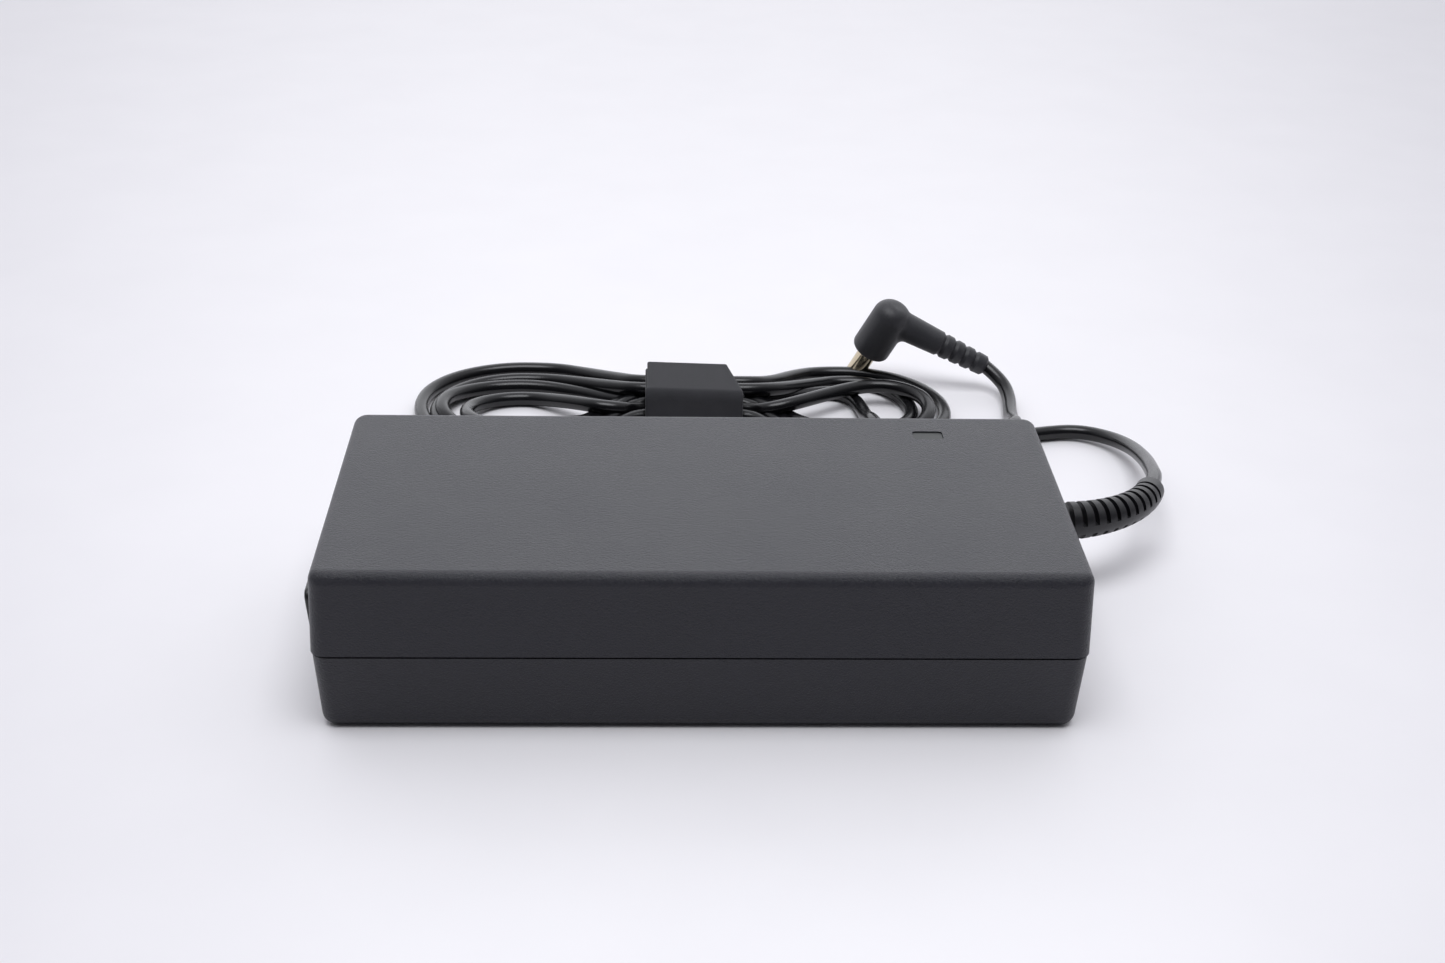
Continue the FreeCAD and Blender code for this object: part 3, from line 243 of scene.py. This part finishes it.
def rounded_path(corners, radii, spacing):
    """Points along a polyline whose corners are arcs: each corner's arc starts and ends where the circle of
    its radius touches the two runs, at radius * tan(half the turn) from the corner."""
    corners = np.array(corners, float)
    parts = [corners[:1]]
    for before, corner, after, radius in zip(corners[:-2], corners[1:-1], corners[2:], radii):
        towards = (corner - before) / np.linalg.norm(corner - before)
        away = (after - corner) / np.linalg.norm(after - corner)
        turn = math.acos(np.clip(towards @ away, -1, 1))
        inward = away - towards * math.cos(turn)
        inward /= np.linalg.norm(inward)
        start = corner - towards * radius * math.tan(turn / 2)
        angles = np.linspace(0, turn, max(3, math.ceil(radius * turn / spacing) + 1))[:, None]
        parts.append(start + radius * (np.sin(angles) * towards + (1 - np.cos(angles)) * inward))
    rough = np.vstack(parts + [corners[-1:]])
    along = np.concatenate([[0], np.cumsum(np.linalg.norm(np.diff(rough, axis=0), axis=1))])
    at = np.linspace(0, along[-1], math.ceil(along[-1] / spacing) + 1)
    return np.stack([np.interp(at, along, rough[:, axis]) for axis in (0, 1)], axis=1), at


# %% Carry the strap's profile along a path
STRAP_HALF_WIDTH = 13.6
STRAP_THICKNESS = 1.3
STRAP_EDGE_RADIUS = 0.45
DROP_ON_RIGHT = 0.75
PROFILE_SPACING = 0.5
PATH_SPACING = 0.4
DROP_STARTS_AT = 4.0
DROP_RISES_OVER = 7.0


def strap_strip(name, corners, radii, half_widths):
    """A strip of fabric: point(u, v) = path(v) + across(u) * half_width(v) * x + depth(u) * normal(v), where
    (across, depth) goes once round a flat rounded profile. The left and the right half have widths of their
    own. The bundle is a little lower on the right, so the strap's upper part drops there."""
    path, along = rounded_path(corners, radii, PATH_SPACING)
    edge = STRAP_THICKNESS / 2
    outline = [(0, edge), (1, edge), (1, -edge), (-1, -edge), (-1, edge), (0, edge)]
    wide = np.array(outline) * (STRAP_HALF_WIDTH, 1)
    profile = rounded_path(wide, [STRAP_EDGE_RADIUS] * 4, PROFILE_SPACING)[0][:-1]
    ahead = np.gradient(path, axis=0)
    ahead /= np.linalg.norm(ahead, axis=1)[:, None]
    normal = np.stack([-ahead[:, 1], ahead[:, 0]], axis=1)
    left, right = half_widths(along, along[-1])
    across = profile[:, 0][None] / STRAP_HALF_WIDTH
    x = STRAP_X + across * np.where(across < 0, left[:, None], right[:, None])
    y = path[:, 0][:, None] + normal[:, 0][:, None] * profile[:, 1][None]
    z = path[:, 1][:, None] + normal[:, 1][:, None] * profile[:, 1][None]
    height = np.clip((z - DROP_STARTS_AT) / DROP_RISES_OVER, 0, 1)
    z = z - DROP_ON_RIGHT * height ** 2 * (1 + (x - STRAP_X) / STRAP_HALF_WIDTH) / 2
    points = np.stack([x, y, z], axis=2)
    rings, sides = points.shape[:2]
    corner = np.arange(rings * sides).reshape(rings, sides)
    turned = np.roll(corner, -1, axis=1)
    quads = np.stack([corner[:-1], turned[:-1], turned[1:], corner[1:]], axis=2).reshape(-1, 4)
    faces = quads.tolist() + [corner[0][::-1].tolist(), corner[-1].tolist()]
    mesh = bpy.data.meshes.new(name)
    mesh.from_pydata(((points.reshape(-1, 3) + SHIFT) * MM).tolist(), [], faces)
    mesh.update()
    places = np.stack([np.broadcast_to(profile[:, 0], (rings, sides)),
                       np.broadcast_to(along[:, None], (rings, sides))], axis=2).reshape(-1, 2) * MM
    corners_of_faces = np.zeros(len(mesh.loops), np.int32)
    mesh.loops.foreach_get("vertex_index", corners_of_faces)
    mesh.uv_layers.new(name="UVMap").data.foreach_set("uv", places[corners_of_faces].ravel())
    mesh.shade_smooth()
    print(name, "is", round(along[-1], 1), "mm long, with", len(faces), "faces")
    return put_in_scene(bpy.data.objects.new(name, mesh))


# %% Make the two parts of the strap
BAND_TOP = 9.75
BAND_BOTTOM = 0.65
BAND_START = 109.95
STRAP_FRONT = 108.0
STRAP_REAR = 126.8
FLAP_FOOT = 1.3
FLAP_TOP = 11.05
FLAP_END = 127.4
TIP_SLANT = 3.8
TIP_INSET = 0.5
FLAP_FRONT_RUN = 11.0


def loop_cut(along, length):
    """The left and the right edge's distance from the strap's middle. The right edge comes in under the flap,
    and goes out again round the back."""
    narrows_over, wide_again_at, widens_over = 16.0, 30.0, 8.0
    under_flap = np.clip(along / narrows_over, 0, 1) * np.clip((wide_again_at - along) / widens_over, 0, 1)
    return np.full(len(along), STRAP_HALF_WIDTH), STRAP_HALF_WIDTH - (TIP_INSET + TIP_SLANT) * under_flap


def slanting_cut(along, length):
    """The flap's right edge is cut at a slant over its top, where it comes in by 3.8 mm towards the tip."""
    top = np.clip((along - FLAP_FRONT_RUN) / (length - FLAP_FRONT_RUN), 0, 1)
    return STRAP_HALF_WIDTH - TIP_INSET * (top > 0), STRAP_HALF_WIDTH - TIP_INSET - TIP_SLANT * top


strap_loop = strap_strip("strap_loop", [(BAND_START, BAND_TOP), (STRAP_REAR, BAND_TOP),
                                        (STRAP_REAR, BAND_BOTTOM), (STRAP_FRONT, BAND_BOTTOM)], [1.6, 1.6], loop_cut)
strap_flap = strap_strip("strap_flap", [(STRAP_FRONT, FLAP_FOOT), (STRAP_FRONT, FLAP_TOP), (FLAP_END, FLAP_TOP)],
                         [2.2], slanting_cut)

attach(strap_loop, "adapter")
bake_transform(strap_flap)
for piece, node, length in ((strap_loop, "strap_band", 0.0434), (strap_flap, "strap_tail", 0.0282)):
    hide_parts(node)

# %% [markdown]
# ## Helpers for the finishes
#
# A finish is a small node tree. Patterns that several finishes share, such as moulded grain, are built once
# as node groups that give out only a height, a shade or a mask. The shader itself stays in each material.

# %% Helpers for node trees


def add(tree, kind, inputs=(), **settings):
    """One node in a tree: settings go on the node, and inputs are values or other nodes' sockets."""
    node = tree.nodes.new(kind)
    for name, value in settings.items():
        setattr(node, name, value)
    for name, value in dict(inputs).items():
        if isinstance(value, bpy.types.NodeSocket):
            tree.links.new(value, node.inputs[name])
        else:
            node.inputs[name].default_value = value
    return node


def effect(name, inputs, outputs):
    """An empty node group with those named sockets, and the ends its nodes are joined to."""
    group = bpy.data.node_groups.new(name, "ShaderNodeTree")
    for label, kind in inputs:
        group.interface.new_socket(label, in_out="INPUT", socket_type="NodeSocket" + kind)
    for label in outputs:
        group.interface.new_socket(label, in_out="OUTPUT", socket_type="NodeSocketFloat")
    return group, group.nodes.new("NodeGroupInput").outputs, group.nodes.new("NodeGroupOutput").inputs


def math_node(tree, operation, first, second=0.0, clamp=False):
    """The result of one sum on two values or sockets."""
    return add(tree, "ShaderNodeMath", {0: first, 1: second}, operation=operation, use_clamp=clamp).outputs[0]


def noise(tree, vector, cells_per_metre, detail=2.0, roughness=0.5):
    """Soft noise between 0 and 1 with that many features per metre."""
    return add(tree, "ShaderNodeTexNoise", {"Vector": vector, "Scale": cells_per_metre, "Detail": detail,
                                            "Roughness": roughness}).outputs["Fac"]


def cells(tree, vector, cells_per_metre, feature="SMOOTH_F1"):
    """Distance to the nearest cell centre of a Voronoi pattern."""
    return add(tree, "ShaderNodeTexVoronoi", {"Vector": vector, "Scale": cells_per_metre},
               feature=feature).outputs["Distance"]


print("helpers ready")

# %% [markdown]
# ## Shared effects
#
# The moulded grain of the housing is a fine pebbled texture: cells about four tenths of a millimetre
# across, broken up by noise. The same group with other sizes serves the other plastics. Rolled metal has
# long thin streaks, wound wire has round turns, fabric has crossing threads, and dust lies thinly on
# surfaces that face up.

# %% Moulded grain
grain, given, result = effect("moulded_grain", [("Vector", "Vector"), ("Cells", "Float"), ("Mottle", "Float")],
                              ["Height", "Shade"])
wander = add(grain, "ShaderNodeTexNoise", {"Vector": given["Vector"], "Scale": given["Cells"], "Detail": 2.0})
bent = add(grain, "ShaderNodeVectorMath", {0: wander.outputs["Color"], 1: (0.0004, 0.0004, 0.0004)},
           operation="MULTIPLY").outputs[0]
place = add(grain, "ShaderNodeVectorMath", {0: given["Vector"], 1: bent}, operation="ADD").outputs[0]
pebbles = cells(grain, place, given["Cells"])
fine = noise(grain, given["Vector"], math_node(grain, "MULTIPLY", given["Cells"], 1.9), 3.0, 0.6)
height = math_node(grain, "ADD", math_node(grain, "MULTIPLY", pebbles, -0.75), fine)
slow = noise(grain, given["Vector"], given["Mottle"], 4.0, 0.62)
shade = math_node(grain, "ADD", math_node(grain, "MULTIPLY", height, 0.35), math_node(grain, "MULTIPLY", slow, 0.65))
grain.links.new(height, result["Height"])
grain.links.new(shade, result["Shade"])
print("moulded_grain has", len(grain.nodes), "nodes")

# %% Rolled and drawn metal
streaks, given, result = effect("rolled_metal", [("Vector", "Vector"), ("Lines", "Float"), ("Mottle", "Float")],
                                ["Height", "Shade"])
drawn = add(streaks, "ShaderNodeVectorMath", {0: given["Vector"], 1: (0.03, 1.0, 1.0)}, operation="MULTIPLY").outputs[0]
lines = noise(streaks, drawn, given["Lines"], 3.0, 0.7)
slow = noise(streaks, given["Vector"], given["Mottle"], 3.0, 0.6)
streaks.links.new(lines, result["Height"])
streaks.links.new(math_node(streaks, "ADD", math_node(streaks, "MULTIPLY", lines, 0.5),
                            math_node(streaks, "MULTIPLY", slow, 0.5)), result["Shade"])
print("rolled_metal has", len(streaks.nodes), "nodes")

# %% Wound wire or tape
turns, given, result = effect("wound_turns", [("Vector", "Vector"), ("Turns", "Float"), ("Mottle", "Float")],
                              ["Height", "Shade"])
wave = add(turns, "ShaderNodeTexWave", {"Vector": given["Vector"], "Scale": given["Turns"], "Distortion": 0.6,
                                        "Detail": 1.0}, wave_type="BANDS", bands_direction="X").outputs["Fac"]
slow = noise(turns, given["Vector"], given["Mottle"], 3.0, 0.6)
turns.links.new(math_node(turns, "POWER", wave, 0.5), result["Height"])
turns.links.new(math_node(turns, "ADD", math_node(turns, "MULTIPLY", wave, 0.55),
                          math_node(turns, "MULTIPLY", slow, 0.45)), result["Shade"])
print("wound_turns has", len(turns.nodes), "nodes")

# %% Woven fabric
weave, given, result = effect("woven_fabric", [("Vector", "Vector"), ("Threads", "Float"), ("Mottle", "Float")],
                              ["Height", "Shade"])
split = add(weave, "ShaderNodeSeparateXYZ", {0: given["Vector"]})
across = math_node(weave, "MULTIPLY", split.outputs["X"], given["Threads"])
along = math_node(weave, "MULTIPLY", split.outputs["Y"], given["Threads"])
warp = math_node(weave, "SINE", math_node(weave, "MULTIPLY", across, 2 * math.pi))
weft = math_node(weave, "SINE", math_node(weave, "MULTIPLY", along, 2 * math.pi))
crossing = math_node(weave, "MULTIPLY", warp, weft)
fuzz = noise(weave, given["Vector"], math_node(weave, "MULTIPLY", given["Threads"], 1.7), 3.0, 0.7)
slow = noise(weave, given["Vector"], given["Mottle"], 3.0, 0.6)
height = math_node(weave, "ADD", math_node(weave, "MULTIPLY", crossing, 0.18), fuzz)
weave.links.new(height, result["Height"])
weave.links.new(math_node(weave, "ADD", math_node(weave, "MULTIPLY", fuzz, 0.6),
                          math_node(weave, "MULTIPLY", slow, 0.4)), result["Shade"])
print("woven_fabric has", len(weave.nodes), "nodes")

# %% Thin dust on upward faces
dust, given, result = effect("settled_dust", [("Vector", "Vector"), ("Amount", "Float")], ["Mask"])
upward = add(dust, "ShaderNodeSeparateXYZ", {0: add(dust, "ShaderNodeNewGeometry").outputs["Normal"]}).outputs["Z"]
specks = noise(dust, given["Vector"], 1500.0, 4.0, 0.7)
patches = noise(dust, given["Vector"], 45.0, 3.0, 0.6)
lying = math_node(dust, "MULTIPLY", math_node(dust, "MAXIMUM", upward, 0.0), patches)
spread = math_node(dust, "MULTIPLY", lying, math_node(dust, "POWER", specks, 3.0))
dust.links.new(math_node(dust, "MULTIPLY", spread, given["Amount"], clamp=True), result["Mask"])
print("settled_dust has", len(dust.nodes), "nodes")

# %% [markdown]
# ## The finishes
#
# Every finish is made by one function from a row of a table: two colours that the effect's shade mixes, a
# range of roughness, how deep its relief is in millimetres, and the plain values that go straight on the
# shader. Colours are written as they look, in screen values from 0 to 255, and are turned into the linear
# values that the shader works in.

# %% One function for every finish
SHADE_RANGE = {"From Min": 0.25, "From Max": 0.75}
DUST_COLOUR = (170, 168, 165)


def seen(red, green, blue):
    """The linear colour of a screen colour: c / 12.92 below 0.04, and ((c + 0.055) / 1.055) ** 2.4 above it."""
    screen = np.array([red, green, blue]) / 255
    linear = np.where(screen < 0.04045, screen / 12.92, ((screen + 0.055) / 1.055) ** 2.4)
    return (*linear.tolist(), 1.0)


def finish(name, effect_group, sizes, dark, light, rough, relief_mm, follows="Object", dusty=0.0, turn=(0, 0, 0),
           **plain):
    """A material: the effect's shade mixes two colours and a range of roughness, its height goes to a bump, and
    dust lightens what faces up. Plain values are set on the shader's own sockets."""
    material = bpy.data.materials.new(name)
    material.use_nodes = True
    tree = material.node_tree
    shader = tree.nodes["Principled BSDF"]
    for socket, value in plain.items():
        shader.inputs[socket.replace("_", " ")].default_value = value
    where = add(tree, "ShaderNodeMapping", {"Vector": add(tree, "ShaderNodeTexCoord").outputs[follows],
                                            "Rotation": [math.radians(v) for v in turn]}).outputs[0]
    pattern = add(tree, "ShaderNodeGroup", node_tree=effect_group)
    tree.links.new(where, pattern.inputs["Vector"])
    pattern.inputs[1].default_value, pattern.inputs[2].default_value = sizes
    shade = pattern.outputs["Shade"]
    spread = add(tree, "ShaderNodeMapRange", {"Value": shade, **SHADE_RANGE}).outputs[0]
    colour = add(tree, "ShaderNodeMix", {"Factor": spread, "A": seen(*dark), "B": seen(*light)}, data_type="RGBA")
    colour = colour.outputs["Result"]
    if dusty:
        layer = add(tree, "ShaderNodeGroup", node_tree=dust)
        tree.links.new(where, layer.inputs["Vector"])
        layer.inputs["Amount"].default_value = dusty
        colour = add(tree, "ShaderNodeMix", {"Factor": layer.outputs["Mask"], "A": colour, "B": seen(*DUST_COLOUR)},
                     data_type="RGBA").outputs["Result"]
    tree.links.new(colour, shader.inputs["Base Color"])
    roughness = add(tree, "ShaderNodeMapRange", {"Value": shade, **SHADE_RANGE, "To Min": rough[0],
                                                 "To Max": rough[1]}).outputs[0]
    tree.links.new(roughness, shader.inputs["Roughness"])
    bump = add(tree, "ShaderNodeBump", {"Height": pattern.outputs["Height"], "Distance": relief_mm * MM})
    tree.links.new(bump.outputs["Normal"], shader.inputs["Normal"])
    return material


# %% The table of finishes, by the record's slot names
FINISHES = {
    "housing": finish("housing_grain", grain, (2600.0, 35.0), (15, 15, 27), (22, 23, 35), (0.31, 0.40), 0.15,
                      dusty=0.3),
    "inlet": finish("inlet_plastic", grain, (5200.0, 60.0), (20, 20, 21), (26, 26, 27), (0.32, 0.44), 0.01),
    "contact_metal": finish("contact_plating", streaks, (9000.0, 90.0), (176, 172, 160), (208, 204, 194),
                            (0.18, 0.34), 0.003, Metallic=1.0),
    "light_guide": finish("light_guide_plastic", grain, (2600.0, 80.0), (36, 38, 38), (42, 44, 43),
                          (0.4, 0.5), 0.02),
    "led": finish("led_resin", grain, (3000.0, 300.0), (226, 220, 196), (238, 234, 214), (0.15, 0.25), 0.002),
    "sheet_metal": finish("mill_aluminium", streaks, (6000.0, 60.0), (176, 178, 182), (206, 208, 212),
                          (0.28, 0.46), 0.004, Metallic=1.0),
    "film": finish("insulating_sheet", grain, (1800.0, 30.0), (208, 208, 200), (222, 222, 214), (0.3, 0.42), 0.01),
    "board": finish("solder_mask", grain, (1200.0, 260.0), (22, 74, 44), (34, 100, 60), (0.28, 0.4), 0.02),
    "boxed_part": finish("moulded_box", grain, (3000.0, 120.0), (176, 150, 62), (194, 168, 78), (0.34, 0.46), 0.01),
    "dark_part": finish("moulded_epoxy", grain, (4200.0, 220.0), (34, 34, 37), (46, 46, 49), (0.42, 0.6), 0.012),
    "disc_part": finish("dipped_coating", grain, (900.0, 160.0), (40, 74, 132), (56, 92, 150), (0.26, 0.38), 0.03),
    "ferrite": finish("sintered_ferrite", grain, (5200.0, 260.0), (60, 60, 64), (82, 82, 86), (0.5, 0.66), 0.02),
    "copper": finish("enamelled_wire", turns, (330.0, 200.0), (150, 82, 38), (206, 128, 72), (0.22, 0.34), 0.18,
                     Metallic=0.9, Coat_Weight=0.6, Coat_Roughness=0.1),
    "tape": finish("polyester_tape", turns, (60.0, 140.0), (206, 172, 44), (224, 192, 66), (0.2, 0.34), 0.03),
    "can": finish("shrink_sleeve", grain, (700.0, 90.0), (28, 30, 40), (40, 42, 54), (0.2, 0.32), 0.01),
    "spring": finish("spring_steel", streaks, (7000.0, 120.0), (150, 150, 154), (184, 184, 188), (0.25, 0.4),
                     0.003, Metallic=1.0),
    "wire": finish("wire_insulation", grain, (2200.0, 120.0), (30, 30, 32), (44, 44, 46), (0.35, 0.48), 0.01),
    "relief": finish("soft_relief_plastic", grain, (3600.0, 90.0), (14, 14, 18), (22, 22, 26), (0.36, 0.46), 0.02,
                     dusty=0.3),
    "cord": finish("cord_jacket", grain, (3200.0, 70.0), (7, 7, 10), (12, 12, 16), (0.23, 0.30), 0.006,
                   dusty=0.1),
    "strap": finish("strap_fabric", weave, (1700.0, 160.0), (30, 30, 33), (52, 52, 56), (0.85, 0.95), 0.12,
                    follows="UV", Sheen_Weight=0.16, Sheen_Roughness=0.4),
    "plug": finish("plug_plastic", grain, (3600.0, 90.0), (42, 42, 46), (56, 56, 60), (0.42, 0.54), 0.03,
                   dusty=0.3),
    "barrel": finish("barrel_plating", streaks, (7000.0, 140.0), (196, 182, 154), (224, 212, 186), (0.14, 0.26),
                     0.003, Metallic=1.0),
    "insulator": finish("insulator_resin", grain, (3000.0, 200.0), (206, 158, 62), (222, 176, 82), (0.3, 0.4),
                        0.008),
}


def dress(piece, material):
    """Give a piece that one material, in every slot it has."""
    if not piece.material_slots:
        piece.data.materials.append(material)
    for slot in piece.material_slots:
        slot.material = material


for part in frame["record"]["subparts"]:
    dress(cad[part["node"]], FINISHES[part["material_slot"]])
dress(output_cord, FINISHES["cord"])
dress(strap_loop, FINISHES["strap"])
dress(strap_flap, FINISHES["strap"])
print(len(FINISHES), "finishes on", len(cad), "CAD nodes and 3 new pieces")

# %% [markdown]
# ## Floor and light
#
# The photograph has a seamless white table. The floor here is one large pale sheet whose colour has painted
# shade in it, a little darker to the left and right, sooner in front than behind. The light is that of a
# small studio: a soft lamp above, a wide one behind, and a room that is bright behind and above and dim in
# front. The glossy top reflects the bright backdrop.

# %% Lay the floor
FLOOR_HALF = 4.0
FLOOR_MIDDLE_X = 0.01
FIBRE_SHARE = 0.15
floor_mesh = bpy.data.meshes.new("studio_floor")
edge = np.array([[-1, -1, 0], [1, -1, 0], [1, 1, 0], [-1, 1, 0]]) * FLOOR_HALF
floor_mesh.from_pydata(edge.tolist(), [], [(0, 1, 2, 3)])
studio_floor = put_in_scene(bpy.data.objects.new("studio_floor", floor_mesh))

paper = bpy.data.materials.new("studio_paper")
paper.use_nodes = True
tree = paper.node_tree
shader = tree.nodes["Principled BSDF"]
shader.inputs["Roughness"].default_value = 0.9
shader.inputs["Specular IOR Level"].default_value = 0.1
where = add(tree, "ShaderNodeTexCoord").outputs["Object"]
place = add(tree, "ShaderNodeSeparateXYZ", {0: where}).outputs
# Painted shade: the floor's colour darkens to the left and right of its middle, sooner in front than behind; the fibre
# noise below is the paper's own tone.
off_middle = math_node(tree, "ABSOLUTE", math_node(tree, "SUBTRACT", place["X"], FLOOR_MIDDLE_X))
widening = math_node(tree, "ADD", math_node(tree, "MULTIPLY", place["Y"], 0.3), 0.16)
bright_half = math_node(tree, "MAXIMUM", widening, 0.1)
painted_side_shade = add(tree, "ShaderNodeMapRange", {"Value": math_node(tree, "DIVIDE", off_middle, bright_half),
                                          "From Min": 0.2, "From Max": 1.7},
             interpolation_type="SMOOTHSTEP").outputs[0]
fibres = math_node(tree, "MULTIPLY", noise(tree, where, 30.0, 4.0), FIBRE_SHARE)
fibres_and_painted_shade = math_node(tree, "ADD", fibres, math_node(tree, "MULTIPLY", painted_side_shade, 1 - FIBRE_SHARE))
tone = add(tree, "ShaderNodeMix", {"Factor": fibres_and_painted_shade, "A": seen(248, 246, 248), "B": seen(214, 212, 216)},
           data_type="RGBA")
tree.links.new(tone.outputs["Result"], shader.inputs["Base Color"])
floor_mesh.materials.append(paper)
print("floor of", 2 * FLOOR_HALF, "m")

# %% Light the studio
LAMP_COLOUR = (0.95, 0.965, 1.0)
ROOM_STRENGTH = 0.87


def soft_lamp(name, place, aim, size, watts):
    """A rectangular area lamp at a place, turned so that its -Z points at its aim."""
    lamp = put_in_scene(bpy.data.objects.new(name, bpy.data.lights.new(name, "AREA")))
    lamp.data.shape = "RECTANGLE"
    lamp.data.size, lamp.data.size_y = size
    lamp.data.energy = watts
    lamp.data.color = LAMP_COLOUR
    back = np.array(place, float) - np.array(aim, float)
    back /= np.linalg.norm(back)
    side = np.cross([0, 1, 0] if abs(back[2]) > 0.99 else [0, 0, 1], back)
    side /= np.linalg.norm(side)
    turned = Matrix(np.array([side, np.cross(back, side), back]).T.tolist()).to_4x4()
    lamp.matrix_world = Matrix.Translation(place) @ turned
    return lamp


soft_lamp("lamp_above", (0.0, -0.18, 1.1), (0.0, 0.05, 0.0), (0.8, 0.6), 7.0)
soft_lamp("lamp_behind", (0.0, 1.7, 0.85), (0.0, 0.0, 0.3), (3.4, 1.6), 12.0)

world = bpy.data.worlds.new("studio_room")
world.use_nodes = True
tree = world.node_tree
towards = add(tree, "ShaderNodeSeparateXYZ", {0: add(tree, "ShaderNodeTexCoord").outputs["Generated"]}).outputs
rearward = math_node(tree, "ADD", math_node(tree, "MULTIPLY", towards["Y"], 0.9),
                     math_node(tree, "MULTIPLY", towards["Z"], 0.45))
bright = add(tree, "ShaderNodeMapRange", {"Value": rearward, "From Min": -0.2, "From Max": 0.6}).outputs[0]
room = add(tree, "ShaderNodeMix", {"Factor": bright, "A": seen(88, 88, 92), "B": seen(248, 249, 255)},
           data_type="RGBA").outputs["Result"]
tree.links.new(room, tree.nodes["Background"].inputs["Color"])
tree.nodes["Background"].inputs["Strength"].default_value = ROOM_STRENGTH
bpy.context.scene.world = world
bpy.context.scene.view_settings.view_transform = "Standard"
print("two lamps and a room that is bright behind and above")
